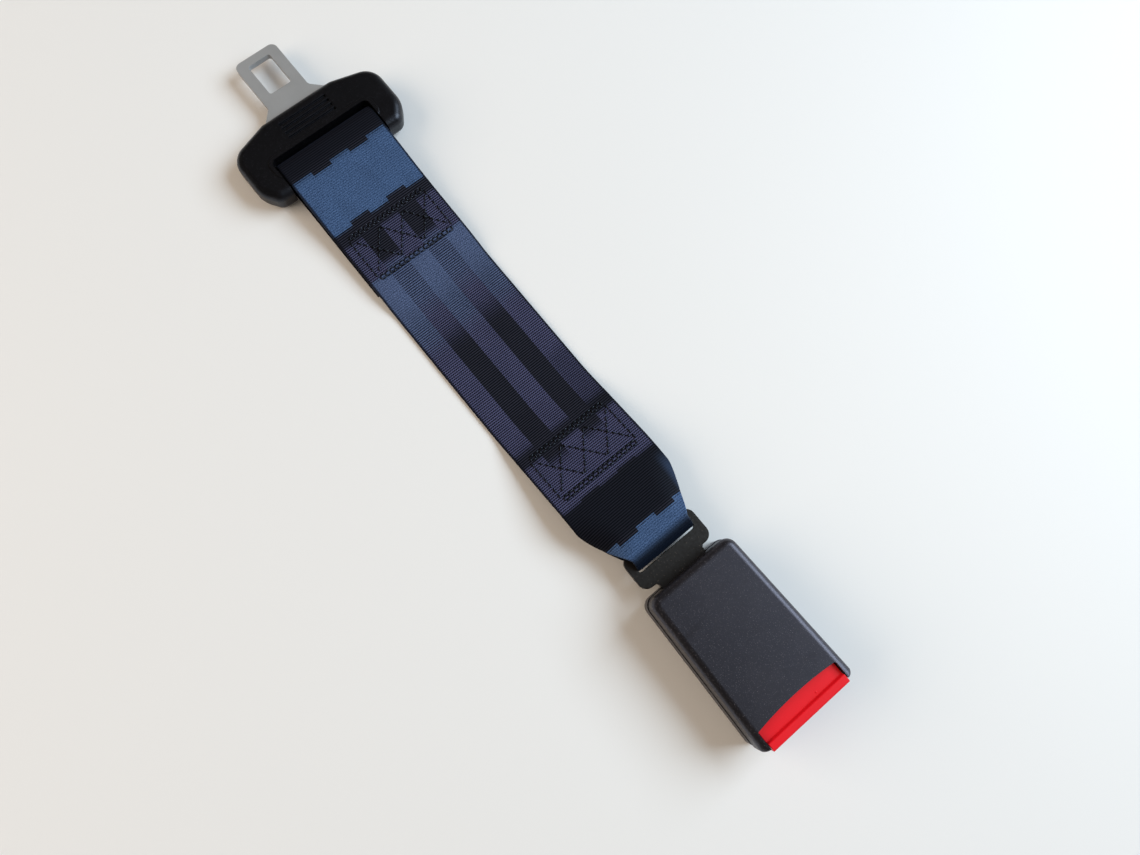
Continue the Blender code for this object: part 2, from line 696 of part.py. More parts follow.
def build_stitching():
    lift = WEB_THICKNESS / 2 + THREAD_CLEARANCE + THREAD_RADIUS
    ends = (
        ("tongue_end", TONGUE_SEAM_X, TONGUE_SEAM_X + SEAM_LENGTH),
        ("buckle_end", BUCKLE_SEAM_X, BUCKLE_SEAM_X - SEAM_LENGTH),
    )
    for end, near_x, far_x in ends:
        build_thread("needle_thread_" + end, near_x, far_x, lambda x: upper_height(x) + lift, 1)
        build_thread("bobbin_thread_" + end, near_x, far_x, lambda x: lower_height(x) - lift, -1)


# Tongue


def tongue_plate_edge(grow=0.0):
    """The steel plate's edge, or with grow the pocket around it."""
    blade = BLADE_WIDTH / 2 + grow
    flare_x = COVER_FRONT_X - FLARE_SHOWN - grow / 2
    beam = WEB_SLOT_WIDTH / 2 + EYE_SKIN + EYE_ARM + grow
    beam_x = SLOT_FRONT_X - EYE_BEAM - grow
    rear_x = WEB_BAR_X + EYE_BAR / 2 + grow
    flare_out = beam_x - flare_x
    half = [
        (TIP_X - grow, blade, TIP_RADIUS),
        (flare_x, blade, TIP_RADIUS),
        (beam_x, blade + flare_out, TIP_RADIUS / 2),
        (beam_x, beam, TIP_RADIUS),
        (rear_x, beam, TIP_RADIUS),
    ]
    return mirrored(half)


def tongue_eye(shrink=0.0):
    """The hole in the steel plate that the webbing passes through."""
    front_x = SLOT_FRONT_X - EYE_SKIN + shrink
    rear_x = WEB_BAR_X - EYE_BAR / 2 - shrink
    half_width = WEB_SLOT_WIDTH / 2 + EYE_SKIN - shrink
    return rectangle(front_x, rear_x, -half_width, half_width, SLOT_CORNER / 2)


def build_tongue_plate(pivot):
    window_x = TIP_X + TIP_BAR
    window = rectangle(
        window_x, window_x + WINDOW_LENGTH, -WINDOW_WIDTH / 2, WINDOW_WIDTH / 2, WINDOW_RADIUS)
    bottom = WEB_BAR_Z - PLATE_THICKNESS / 2
    top = WEB_BAR_Z + PLATE_THICKNESS / 2
    mesh = plate_mesh([tongue_plate_edge(), window, tongue_eye()], bottom, top)

    def shown_edge(middle):
        on_face = min(abs(middle.z - bottom), abs(middle.z - top)) < WELD
        in_window = abs(middle.y) <= WINDOW_WIDTH / 2 + WELD and middle.x > TIP_X + WELD
        return on_face and middle.x < COVER_FRONT_X - FLARE_SHOWN and not in_window

    round_edges(mesh, PLATE_EDGE, 2, shown_edge)
    add_part("tongue_plate", mesh, MATERIALS["bright_steel"], pivot.location, pivot)


def cover_outline():
    front = COVER_FRONT_WIDTH / 2
    side = COVER_WIDTH / 2
    rear_x = WEB_BAR_X + LOBE_LENGTH
    half = [
        (COVER_FRONT_X, front, COVER_NOSE_CORNER),
        (COVER_FRONT_X + COVER_SWEEP, side, COVER_FRONT_CORNER),
        (WEB_BAR_X + LOBE_SHOULDER, side, COVER_SIDE_CORNER),
        (rear_x, side - LOBE_TAPER, COVER_REAR_CORNER),
    ]
    return mirrored(half)


def build_tongue_cover(pivot):
    mesh = dome_mesh(
        lambda depth: inset_corners(cover_outline(), depth), 0.0, COVER_HEIGHT, COVER_EDGE, COVER_EDGE)
    cover = add_part("tongue_cover", mesh, MATERIALS["moulded_black"], pivot.location, pivot)

    slot_side = WEB_SLOT_WIDTH / 2
    lip_x = SLOT_FRONT_X - LIP_WIDTH
    lip_side = slot_side + LIP_WIDTH
    lip = rectangle(lip_x, WEB_BAR_X + WEB_BAR_RADIUS, -lip_side, lip_side, SLOT_CORNER + LIP_WIDTH)
    join(cover, "slot_lip", plate_mesh([lip], WEB_BAR_Z, COVER_HEIGHT + LIP_RISE))

    opening = rectangle(SLOT_FRONT_X, WEB_BAR_X + TALL, -slot_side, slot_side, SLOT_CORNER)
    cut(cover, "web_slot", plate_mesh([opening], -TALL, TALL))
    bar_length = WEB_SLOT_WIDTH + 2 * EYE_SKIN
    join(cover, "web_bar", rod_mesh(WEB_BAR_X, WEB_BAR_Z, WEB_BAR_RADIUS, bar_length, 36))

    half_pocket = PLATE_THICKNESS / 2 + CLEARANCE
    pocket = plate_mesh(
        [tongue_plate_edge(CLEARANCE), tongue_eye(CLEARANCE)],
        WEB_BAR_Z - half_pocket, WEB_BAR_Z + half_pocket)
    cut(cover, "plate_pocket", pocket)

    for index in range(GROOVE_COUNT):
        x = COVER_FRONT_X + GROOVE_SETBACK + index * GROOVE_PITCH
        for level, low, high in (
                ("top", COVER_HEIGHT - GROOVE_DEPTH, TALL), ("under", -TALL, GROOVE_DEPTH)):
            groove = block_mesh(
                x - GROOVE_WIDTH / 2, x + GROOVE_WIDTH / 2, -GROOVE_LENGTH / 2, GROOVE_LENGTH / 2, low, high)
            cut(cover, "grip_groove_%s_%d" % (level, index + 1), groove)


# Buckle


def build_anchor_plate(pivot):
    front_x = ANCHOR_BAR_X - ANCHOR_BAR / 2
    half = [
        (front_x, ANCHOR_WIDTH / 2, ANCHOR_CORNER),
        (SHOULDER_X, ANCHOR_WIDTH / 2, ANCHOR_CORNER),
        (SHOULDER_X, NECK_WIDTH / 2, ANCHOR_CORNER / 3),
        (NECK_END_X, NECK_WIDTH / 2, ANCHOR_CORNER),
    ]
    slot_side = ANCHOR_SLOT_WIDTH / 2
    slot_corner = FULL_ROUND * ANCHOR_SLOT / 2
    slot = rectangle(ANCHOR_SLOT_X, ANCHOR_SLOT_X + ANCHOR_SLOT, -slot_side, slot_side, slot_corner)
    bottom = ANCHOR_Z - ANCHOR_THICKNESS / 2
    top = ANCHOR_Z + ANCHOR_THICKNESS / 2
    mesh = plate_mesh([mirrored(half), slot, rivet_hole()], bottom, top)

    def shown_edge(middle):
        on_face = min(abs(middle.z - bottom), abs(middle.z - top)) < WELD
        outside = abs(middle.y) > slot_side + ANCHOR_SLOT_SIDE or middle.x < front_x + WELD
        return on_face and outside and middle.x < SHOULDER_X - ANCHOR_CORNER / 2

    round_edges(mesh, ANCHOR_THICKNESS / 5, 2, shown_edge)
    add_part("anchor_plate", mesh, MATERIALS["coated_steel"], pivot.location, pivot)


def rivet_hole():
    """A round hole at the rivet, as a square whose corners are rounded all the way."""
    reach = RIVET_RADIUS + CLEARANCE
    return rectangle(RIVET_X - reach, RIVET_X + reach, -reach, reach, FULL_ROUND * reach)


def build_rivet(pivot):
    head_top = ANCHOR_Z + ANCHOR_THICKNESS / 2 + CLEARANCE
    head_bottom = FRAME_BASE - CLEARANCE
    dome = RIVET_HEAD_HEIGHT / 3
    profile = [
        (0.0, head_top + RIVET_HEAD_HEIGHT),
        (RIVET_HEAD_RADIUS - 2 * dome, head_top + RIVET_HEAD_HEIGHT),
        (RIVET_HEAD_RADIUS, head_top + dome),
        (RIVET_HEAD_RADIUS, head_top),
        (RIVET_RADIUS, head_top),
        (RIVET_RADIUS, head_bottom),
        (RIVET_HEAD_RADIUS, head_bottom),
        (RIVET_HEAD_RADIUS, head_bottom - RIVET_HEAD_HEIGHT),
        (0.0, head_bottom - RIVET_HEAD_HEIGHT),
    ]
    mesh = bpy.data.meshes.new("rivet")
    bm = bmesh.new()
    verts = [bm.verts.new((radius, 0, z - ANCHOR_Z)) for radius, z in profile]
    for start, end in zip(verts, verts[1:]):
        bm.edges.new((start, end))
    bm.to_mesh(mesh)
    bm.free()
    rivet = add_part("anchor_rivet", mesh, MATERIALS["works_steel"])
    rivet.parent = pivot
    rivet.location = Vector((RIVET_X, 0, ANCHOR_Z)) - pivot.location
    screw = rivet.modifiers.new("turned", "SCREW")
    screw.steps = 28
    screw.render_steps = 28
    screw.use_merge_vertices = True
    screw.merge_threshold = 0.00001


def build_frame(pivot):
    half_width = FRAME_WIDTH / 2
    window_x = NOSE_REAR_X - EJECTOR_LEAD
    window = rectangle(
        window_x, NOSE_FRONT_X + EJECTOR_LEAD, -NOSE_WIDTH / 2 - 2 * CLEARANCE,
        NOSE_WIDTH / 2 + 2 * CLEARANCE, WINDOW_RADIUS)
    base = mirrored([(FRAME_REAR_X, half_width, FRAME_CORNER), (FRAME_FRONT_X, half_width, FRAME_CORNER)])
    frame = add_part(
        "buckle_frame", plate_mesh([base, window, rivet_hole()], FRAME_BASE, FRAME_TOP),
        MATERIALS["works_steel"], pivot.location, pivot)
    reach = PIN_RADIUS + CLEARANCE
    hole = rectangle(PIN_X - reach, PIN_X + reach, PIN_HEIGHT - reach, PIN_HEIGHT + reach, FULL_ROUND * reach)
    wall_rear_x = FRAME_REAR_X + FRAME_WALL_REAR
    wall = [
        (wall_rear_x, FRAME_BASE + FRAME_THICKNESS / 2, 0.0),
        (wall_rear_x, FRAME_WALL_TOP, FRAME_CORNER),
        (FRAME_WALL_X, FRAME_WALL_TOP, FRAME_CORNER / 3),
        (FRAME_WALL_X, FRAME_BASE + FRAME_THICKNESS / 2, 0.0),
    ]
    for side, inner, outer in (
            ("left", half_width - FRAME_THICKNESS, half_width),
            ("right", -half_width, FRAME_THICKNESS - half_width)):
        join(frame, "frame_wall_" + side, profile_mesh([wall, hole], inner, outer))


def build_latch(pivot):
    slope_x = PIN_X + KNUCKLE_RADIUS
    profile = [
        (PIN_X, LATCH_BASE, 0.0),
        (PIN_X, LATCH_BASE + LATCH_THICKNESS, 0.0),
        (NOSE_FRONT_X, LATCH_BASE + LATCH_THICKNESS, LATCH_THICKNESS / 2),
        (NOSE_FRONT_X, LATCH_BASE, 0.0),
        (slope_x, LATCH_BASE, 0.0),
    ]
    latch = add_part(
        "latch_plate", profile_mesh([profile], -LATCH_WIDTH / 2, LATCH_WIDTH / 2),
        MATERIALS["works_steel"], (PIN_X, 0, PIN_HEIGHT), pivot)
    nose = block_mesh(
        NOSE_REAR_X, NOSE_FRONT_X, -NOSE_WIDTH / 2, NOSE_WIDTH / 2, NOSE_BASE, LATCH_BASE + LATCH_THICKNESS / 2)
    join(latch, "latch_nose", nose)
    knuckle_width = FRAME_INSIDE - 4 * CLEARANCE
    join(latch, "latch_knuckle", rod_mesh(PIN_X, PIN_HEIGHT, KNUCKLE_RADIUS, knuckle_width, 24))
    cut(latch, "pin_bore", rod_mesh(PIN_X, PIN_HEIGHT, PIN_RADIUS + CLEARANCE, FRAME_WIDTH, 20))
    pin = rod_mesh(PIN_X, PIN_HEIGHT, PIN_RADIUS, FRAME_WIDTH + 2 * CLEARANCE, 20)
    add_part("latch_pin", pin, MATERIALS["works_steel"], (PIN_X, 0, PIN_HEIGHT), pivot)


def build_ejector(pivot):
    origin = (EJECTOR_REAR_X, 0, EJECTOR_BASE)
    body = [
        (EJECTOR_REAR_X, EJECTOR_BASE, 0.0),
        (EJECTOR_REAR_X, EJECTOR_TOP, 0.0),
        (EJECTOR_FRONT_X, EJECTOR_TOP, BUTTON_EDGE / 2),
        (EJECTOR_FRONT_X, EJECTOR_BASE, 0.0),
    ]
    ejector = add_part(
        "ejector", profile_mesh([body], -EJECTOR_WIDTH / 2, EJECTOR_WIDTH / 2),
        MATERIALS["works_plastic"], origin, pivot)
    ramp_x = EJECTOR_FRONT_X - RAMP_LENGTH
    ramp = [
        (ramp_x, EJECTOR_TOP, 0.0),
        (ramp_x, EJECTOR_TOP + RAMP_DROP, 0.0),
        (EJECTOR_FRONT_X + RAMP_DROP, EJECTOR_TOP + RAMP_DROP, 0.0),
        (EJECTOR_FRONT_X + RAMP_DROP, EJECTOR_TOP - RAMP_DROP, 0.0),
        (EJECTOR_FRONT_X, EJECTOR_TOP - RAMP_DROP, 0.0),
    ]
    ramp_side = NOSE_WIDTH / 2 + 2 * CLEARANCE
    cut(ejector, "latch_ramp", profile_mesh([ramp], -ramp_side, ramp_side))


def build_lock_slide(pivot):
    front_x = BUTTON_TUCK_X - CLEARANCE
    rear_x = front_x - LOCK_LENGTH
    edge = mirrored([(rear_x, FRAME_WIDTH / 2, LOCK_CORNER), (front_x, FRAME_WIDTH / 2, LOCK_CORNER)])
    slot_x = (rear_x + front_x - LOCK_SLOT_LENGTH) / 2
    slot = rectangle(
        slot_x, slot_x + LOCK_SLOT_LENGTH, -LOCK_SLOT_WIDTH / 2, LOCK_SLOT_WIDTH / 2, LOCK_CORNER)
    mesh = plate_mesh([edge, slot], LOCK_BASE, LOCK_BASE + LOCK_THICKNESS)
    add_part("lock_slide", mesh, MATERIALS["works_steel"], (rear_x, 0, LOCK_BASE), pivot)


def coil_points(x0, x1, y, z, radius, turns, steps=10):
    """A closed-ended compression coil along X: its first and last turns lie close together."""
    closed = 1.25 * SPRING_WIRE
    x0 += SPRING_WIRE / 2
    x1 -= SPRING_WIRE / 2
    points = []
    for index in range(turns * steps + 1):
        turn = index / steps
        if turn <= 1:
            x = x0 + closed * turn
        elif turn >= turns - 1:
            x = x1 - closed * (turns - turn)
        else:
            x = x0 + closed + (x1 - x0 - 2 * closed) * (turn - 1) / (turns - 2)
        angle = 2 * math.pi * turn
        points.append((x, y + radius * math.cos(angle), z + radius * math.sin(angle)))
    return points


def build_springs(pivot):
    wire = SPRING_WIRE / 2
    x0 = NECK_END_X + CLEARANCE
    x1 = EJECTOR_REAR_X - CLEARANCE
    z = EJECTOR_BASE + EJECTOR_SPRING_RADIUS + CLEARANCE
    points = coil_points(x0, x1, 0, z, EJECTOR_SPRING_RADIUS - wire, 8)
    add_part("ejector_spring", tube_mesh(points, wire), MATERIALS["spring_steel"], (x0, 0, z), pivot)
    x1 = BUTTON_ARM_X - CLEARANCE
    x0 = x1 - BUTTON_SPRING_LENGTH
    for side, y in (("left", BUTTON_ARM_Y), ("right", -BUTTON_ARM_Y)):
        points = coil_points(x0, x1, y, BUTTON_ARM_Z, BUTTON_SPRING_RADIUS - wire, 7)
        add_part(
            "button_spring_" + side, tube_mesh(points, wire), MATERIALS["spring_steel"],
            (x0, y, BUTTON_ARM_Z), pivot)


def build_button(pivot):
    lip_x = BUTTON_FRONT_X - BUTTON_LIP
    rise = BUTTON_LIP_TOP - BUTTON_TOP
    profile = [
        (BUTTON_REAR_X, BUTTON_BASE, 0.0),
        (BUTTON_REAR_X, LOCK_BASE, 0.0),
        (BUTTON_TUCK_X, LOCK_BASE, 0.0),
        (BUTTON_TUCK_X, BUTTON_TOP, 0.0),
        (lip_x - rise / 4, BUTTON_TOP, BUTTON_EDGE / 4),
        (lip_x, BUTTON_LIP_TOP, BUTTON_EDGE / 2),
        (BUTTON_FRONT_X, BUTTON_LIP_TOP, BUTTON_EDGE),
        (BUTTON_FRONT_X, BUTTON_BASE, BUTTON_EDGE),
    ]
    origin = (BUTTON_REAR_X, 0, BUTTON_BASE)
    button = add_part(
        "release_button", profile_mesh([profile], -BUTTON_WIDTH / 2, BUTTON_WIDTH / 2),
        MATERIALS["button_red"], origin, pivot)
    for side, y in (("left", BUTTON_ARM_Y), ("right", -BUTTON_ARM_Y)):
        arm = block_mesh(
            BUTTON_ARM_X, BUTTON_REAR_X + CLEARANCE, y - BUTTON_ARM_WIDTH / 2, y + BUTTON_ARM_WIDTH / 2,
            BUTTON_ARM_Z - BUTTON_ARM_HEIGHT / 2, BUTTON_ARM_Z + BUTTON_ARM_HEIGHT / 2)
        join(button, "button_arm_" + side, arm)


def shell_half_width(x):
    share = (x - BUCKLE_REAR_X) / BUCKLE_LENGTH
    return (BUCKLE_REAR_WIDTH + (BUCKLE_FRONT_WIDTH - BUCKLE_REAR_WIDTH) * share) / 2


def shell_outline(inset, corner, rounding, front_x):
    """The outline of a shell, inset. The front corners' radius is a share of the rear corners' one."""
    rear_x = BUCKLE_REAR_X + inset
    half = [
        (rear_x, shell_half_width(rear_x) - inset, corner),
        (front_x, shell_half_width(front_x) - inset, corner * rounding),
    ]
    return mirrored(half)


def neck_gap():
    side = NECK_WIDTH / 2 + 2 * CLEARANCE
    reach = ANCHOR_THICKNESS / 2 + CLEARANCE
    rear_x = BUCKLE_REAR_X - LOWER_STEP - CLEARANCE
    front_x = BUCKLE_REAR_X + SHELL_WALL + CLEARANCE
    return block_mesh(rear_x, front_x, -side, side, ANCHOR_Z - reach, ANCHOR_Z + reach)


def button_bay():
    """The place that the button fills: an arc in the roof of the cover, open at the front."""
    side = BUTTON_BAY_WIDTH / 2
    arc = []
    for y in spaced(-side, side, ARC_CHORDS):
        corner = BAY_CORNER if abs(y) > side - WELD else 0.0
        arc.append((BUCKLE_FRONT_X - ARC_SETBACK + ARC_SAGITTA * (y / side) ** 2, y, corner))
    outline = arc + [(BUCKLE_FRONT_X + TALL, side, 0.0), (BUCKLE_FRONT_X + TALL, -side, 0.0)]
    return plate_mesh([outline], SPLIT_HEIGHT - CLEARANCE, BUCKLE_HEIGHT + CLEARANCE)


def build_top_cover(pivot):
    bottom = SPLIT_HEIGHT + CLEARANCE
    mesh = dome_mesh(
        lambda depth: shell_outline(depth, SHELL_CORNER - depth, TOP_FRONT_ROUNDING, BUCKLE_FRONT_X),
        bottom, BUCKLE_HEIGHT, 0.0, TOP_EDGE)
    cover = add_part("buckle_top_cover", mesh, MATERIALS["moulded_black"], pivot.location, pivot)
    inside_x = BUCKLE_FRONT_X - ARC_SETBACK + ARC_SAGITTA + CLEARANCE
    inside = shell_outline(SHELL_WALL, SHELL_CORNER - SHELL_WALL, TOP_FRONT_ROUNDING, inside_x)
    cut(cover, "top_cavity", plate_mesh([inside], bottom - CLEARANCE, SHELL_CEILING))
    cut(cover, "button_bay", button_bay())
    cut(cover, "neck_gap_top", neck_gap())
    rib_front = BUTTON_ARM_X - BUTTON_SPRING_LENGTH - 2 * CLEARANCE
    for side, y in (("left", BUTTON_ARM_Y), ("right", -BUTTON_ARM_Y)):
        rib = block_mesh(
            rib_front - SPRING_RIB, rib_front, y - BUTTON_SPRING_RADIUS, y + BUTTON_SPRING_RADIUS,
            BUTTON_ARM_Z - BUTTON_SPRING_RADIUS, SHELL_CEILING + SHELL_ROOF / 2)
        join(cover, "spring_rib_" + side, rib)


def build_bottom_cover(pivot):
    mesh = dome_mesh(
        lambda depth: shell_outline(
            depth - LOWER_STEP, SHELL_CORNER - depth, LOWER_FRONT_ROUNDING, BUCKLE_FRONT_X),
        0.0, SPLIT_HEIGHT, BOTTOM_EDGE, 0.0)
    cover = add_part("buckle_bottom_cover", mesh, MATERIALS["moulded_black"], pivot.location, pivot)
    inside = shell_outline(
        SHELL_WALL, SHELL_CORNER - SHELL_WALL, LOWER_FRONT_ROUNDING, BUCKLE_FRONT_X - SHELL_WALL)
    cut(cover, "bottom_cavity", plate_mesh([inside], SHELL_WALL, TALL))
    cut(cover, "neck_gap_bottom", neck_gap())

    sill_side = BUTTON_BAY_WIDTH / 2 - 2 * CLEARANCE
    sill = block_mesh(
        BUCKLE_FRONT_X - SHELL_WALL, BUCKLE_FRONT_X, -sill_side, sill_side,
        SPLIT_HEIGHT - SHELL_WALL, MOUTH_TOP + CLEARANCE)
    join(cover, "mouth_sill", sill)
    mouth = block_mesh(
        BUCKLE_FRONT_X - 2 * SHELL_WALL, BUCKLE_FRONT_X + SHELL_WALL, -MOUTH_WIDTH / 2, MOUTH_WIDTH / 2,
        FRAME_TOP, TALL)
    cut(cover, "tongue_mouth", mouth)
    rear_pad_x = RIVET_X + RIVET_HEAD_RADIUS + PAD_SETBACK
    front_pad_x = FRAME_FRONT_X - PAD_SETBACK
    for index, x in enumerate((rear_pad_x, front_pad_x)):
        pad = block_mesh(
            x - PAD_LENGTH / 2, x + PAD_LENGTH / 2, -PAD_WIDTH / 2, PAD_WIDTH / 2,
            SHELL_WALL / 2, FRAME_BASE - CLEARANCE)
        join(cover, "frame_pad_%d" % (index + 1), pad)


def build_buckle():
    pivot = add_pivot("buckle_pivot", (ANCHOR_BAR_X, 0, ANCHOR_Z))
    build_anchor_plate(pivot)
    build_rivet(pivot)
    build_frame(pivot)
    build_latch(pivot)
    build_ejector(pivot)
    build_lock_slide(pivot)
    build_springs(pivot)
    build_button(pivot)
    build_top_cover(pivot)
    build_bottom_cover(pivot)


def build_tongue():
    pivot = add_pivot("tongue_pivot", (WEB_BAR_X, 0, WEB_BAR_Z))
    build_tongue_plate(pivot)
    build_tongue_cover(pivot)


clear_scene()
PARTS = new_collection("seat_belt_extender")
CUTTERS = new_collection("cutters")
MATERIALS = {
    "webbing": make_material("webbing", (0.022, 0.035, 0.085), 0.62),
    "thread": make_material("thread", (0.006, 0.006, 0.008), 0.55),
    "moulded_black": make_material("moulded_black", (0.012, 0.013, 0.017), 0.48),
    "button_red": make_material("button_red", (0.72, 0.012, 0.015), 0.36),
    "bright_steel": make_material("bright_steel", (0.56, 0.57, 0.58), 0.34, 1.0),
    "coated_steel": make_material("coated_steel", (0.016, 0.015, 0.014), 0.38, 0.4),
    "works_steel": make_material("works_steel", (0.42, 0.41, 0.38), 0.38, 1.0),
    "works_plastic": make_material("works_plastic", (0.55, 0.55, 0.52), 0.45),
    "spring_steel": make_material("spring_steel", (0.30, 0.30, 0.31), 0.30, 1.0),
}
build_webbing()
build_stitching()
build_tongue()
build_buckle()
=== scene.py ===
import math

import bmesh
import bpy
from mathutils import Matrix, Vector


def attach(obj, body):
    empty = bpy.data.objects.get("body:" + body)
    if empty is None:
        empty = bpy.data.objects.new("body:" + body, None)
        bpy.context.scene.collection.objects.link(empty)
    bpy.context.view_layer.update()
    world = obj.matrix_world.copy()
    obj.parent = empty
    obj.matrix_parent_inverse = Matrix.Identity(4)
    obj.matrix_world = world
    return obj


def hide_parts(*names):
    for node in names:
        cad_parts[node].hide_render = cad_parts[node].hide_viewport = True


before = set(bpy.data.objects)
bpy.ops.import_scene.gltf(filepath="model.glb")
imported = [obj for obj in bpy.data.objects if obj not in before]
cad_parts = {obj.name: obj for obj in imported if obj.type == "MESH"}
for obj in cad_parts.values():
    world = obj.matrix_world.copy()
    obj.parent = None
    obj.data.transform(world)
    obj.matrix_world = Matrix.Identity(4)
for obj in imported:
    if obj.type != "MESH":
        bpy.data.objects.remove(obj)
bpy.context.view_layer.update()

# Sizes of the CAD model that the visible pieces repeat, in metres
CLEARANCE = 0.0003
WEB_WIDTH = 0.0475
WEB_THICKNESS = 0.0012
LAYER_PITCH = 0.0015
GATHER_WIDTH = 0.0280
GATHER_LENGTH = 0.0220
SETTLE_LENGTH = 0.0150
SEAM_LENGTH = 0.0236
SEAM_WIDTH = 0.0395
ROW_SPACING = 0.0019
TIP_X = -0.181585
COVER_FRONT_X = -0.149285
SLOT_FRONT_X = -0.131085
WEB_BAR_X = -0.124985
TONGUE_SEAM_X = -0.085785
TONGUE_TAIL_X = -0.058085
BUCKLE_TAIL_X = 0.032715
BUCKLE_SEAM_X = 0.060415
ANCHOR_BAR_X = 0.095415
ANCHOR_SLOT_X = 0.098415
SHOULDER_X = 0.108185
BUCKLE_REAR_X = 0.110885
RIVET_X = 0.120185
NECK_END_X = 0.127885
BUTTON_ARM_X = 0.158285
BUTTON_TUCK_X = 0.165485
BUTTON_REAR_X = 0.170885
BUCKLE_FRONT_X = 0.180085
BUTTON_FRONT_X = 0.181585
REST_Z = 0.0006
TAIL_Z = 0.0014
TONGUE_SEAM_Z = 0.0035
WEB_BAR_Z = 0.0055
BUCKLE_SEAM_Z = 0.0067
ANCHOR_Z = 0.0086
FRAME_TOP = 0.0070
MOUTH_TOP = 0.0114
BUTTON_BASE = 0.0120
LOCK_BASE = 0.0168
BUTTON_TOP = 0.0185
SHELL_CEILING = 0.0188
BUTTON_LIP_TOP = 0.0202
BUCKLE_HEIGHT = 0.0205
SPLIT_HEIGHT = 0.0089
TONGUE_LOOP_RADIUS = 0.0049
ANCHOR_LOOP_RADIUS = math.hypot(0.0060, 0.0026) / 2 + 0.0004 + WEB_THICKNESS / 2
BLADE_WIDTH = 0.0210
PLATE_THICKNESS = 0.0028
COVER_HEIGHT = 0.0110
WEB_SLOT_WIDTH = 0.0501
WEB_BAR_RADIUS = 0.0040
ANCHOR_THICKNESS = 0.0026
ANCHOR_SLOT = ANCHOR_LOOP_RADIUS + WEB_THICKNESS / 2 + 0.0007 - 0.0030
ANCHOR_SLOT_WIDTH = GATHER_WIDTH + 0.0012
ANCHOR_WIDTH = ANCHOR_SLOT_WIDTH + 0.0066
BUCKLE_REAR_WIDTH = 0.0419
BUCKLE_FRONT_WIDTH = 0.0466
BUCKLE_LENGTH = BUCKLE_FRONT_X - BUCKLE_REAR_X
SHELL_WALL = 0.0020
BUTTON_WIDTH = 0.0394
BUTTON_BAY_WIDTH = 0.0400
BUTTON_ARM_Y = 0.0178
BUTTON_ARM_WIDTH = 0.0032
BUTTON_ARM_HEIGHT = 0.0043
BUTTON_SPRING_LENGTH = 0.0157
NECK_WIDTH = 2 * BUTTON_ARM_Y - BUTTON_ARM_WIDTH - 0.0014 - 0.0048 - 0.0032
MOUTH_WIDTH = BLADE_WIDTH + 0.0044
WINDOW_NEAR_X = TIP_X + 0.0039
WINDOW_FAR_X = TIP_X + 0.0209
WINDOW_SIDE = 0.0056
EYE_MARGIN = 0.0016
BEAM_WIDTH = 0.0045
EYE_REAR = 0.0024
COVER_EDGE = 0.0038
COVER_LIP = 0.0018
GROOVE_COUNT = 4
GROOVE_START = 0.0059
GROOVE_PITCH = 0.0025
GROOVE_SIDE = 0.01225
ROOF_EDGE = 0.0034
SHELL_CORNER = 0.0045
INNER_CORNER = 0.0025
TOP_ROUNDING = 0.45
LOWER_ROUNDING = 0.9
BAY_DEPTH = 0.0089
BAY_BOW = 0.0013
BUTTON_LIP = 0.0035
RIB_LENGTH = 0.0030
RIB_SIDE = 0.0015
PAD_SIDE = 0.0020
PAD_REACH = 0.0110
PAD_TOP = 0.0043

# How the meshes are made
TALL = 0.1
ARC_STEP = math.radians(5)
SHARP_ANGLE = math.radians(35)
WELD = 0.000002
MIN_RADIUS = 0.00015


# Camera, floor and lights

def make_camera():
    data = bpy.data.cameras.new("camera")
    data.sensor_fit = "HORIZONTAL"
    data.sensor_width = 36.0
    data.lens = 856.0 / 1140.0 * 36.0
    data.clip_start = 0.01
    camera = bpy.data.objects.new("camera", data)
    bpy.context.scene.collection.objects.link(camera)
    right = Vector((0.63482, 0.77059, 0.05690))
    up = Vector((-0.76096, 0.61072, 0.21905))
    back = Vector((0.13405, -0.18235, 0.97405))
    turn = Matrix((right, up, back)).transposed().to_4x4()
    camera.matrix_world = Matrix.Translation((0.084945, -0.062225, 0.34910)) @ turn
    bpy.context.scene.camera = camera


def make_area_light(name, place, size, power, colour, mirrored_in_gloss):
    """A lamp turned to the middle of the object. Glossy surfaces may leave its mirror image out."""
    data = bpy.data.lights.new(name, "AREA")
    data.shape = "RECTANGLE"
    data.size, data.size_y = size
    data.energy = power
    data.color = colour
    light = bpy.data.objects.new(name, data)
    bpy.context.scene.collection.objects.link(light)
    light.location = place
    light.rotation_mode = "QUATERNION"
    light.rotation_quaternion = (-Vector(place)).to_track_quat("-Z", "Y")
    light.visible_glossy = mirrored_in_gloss


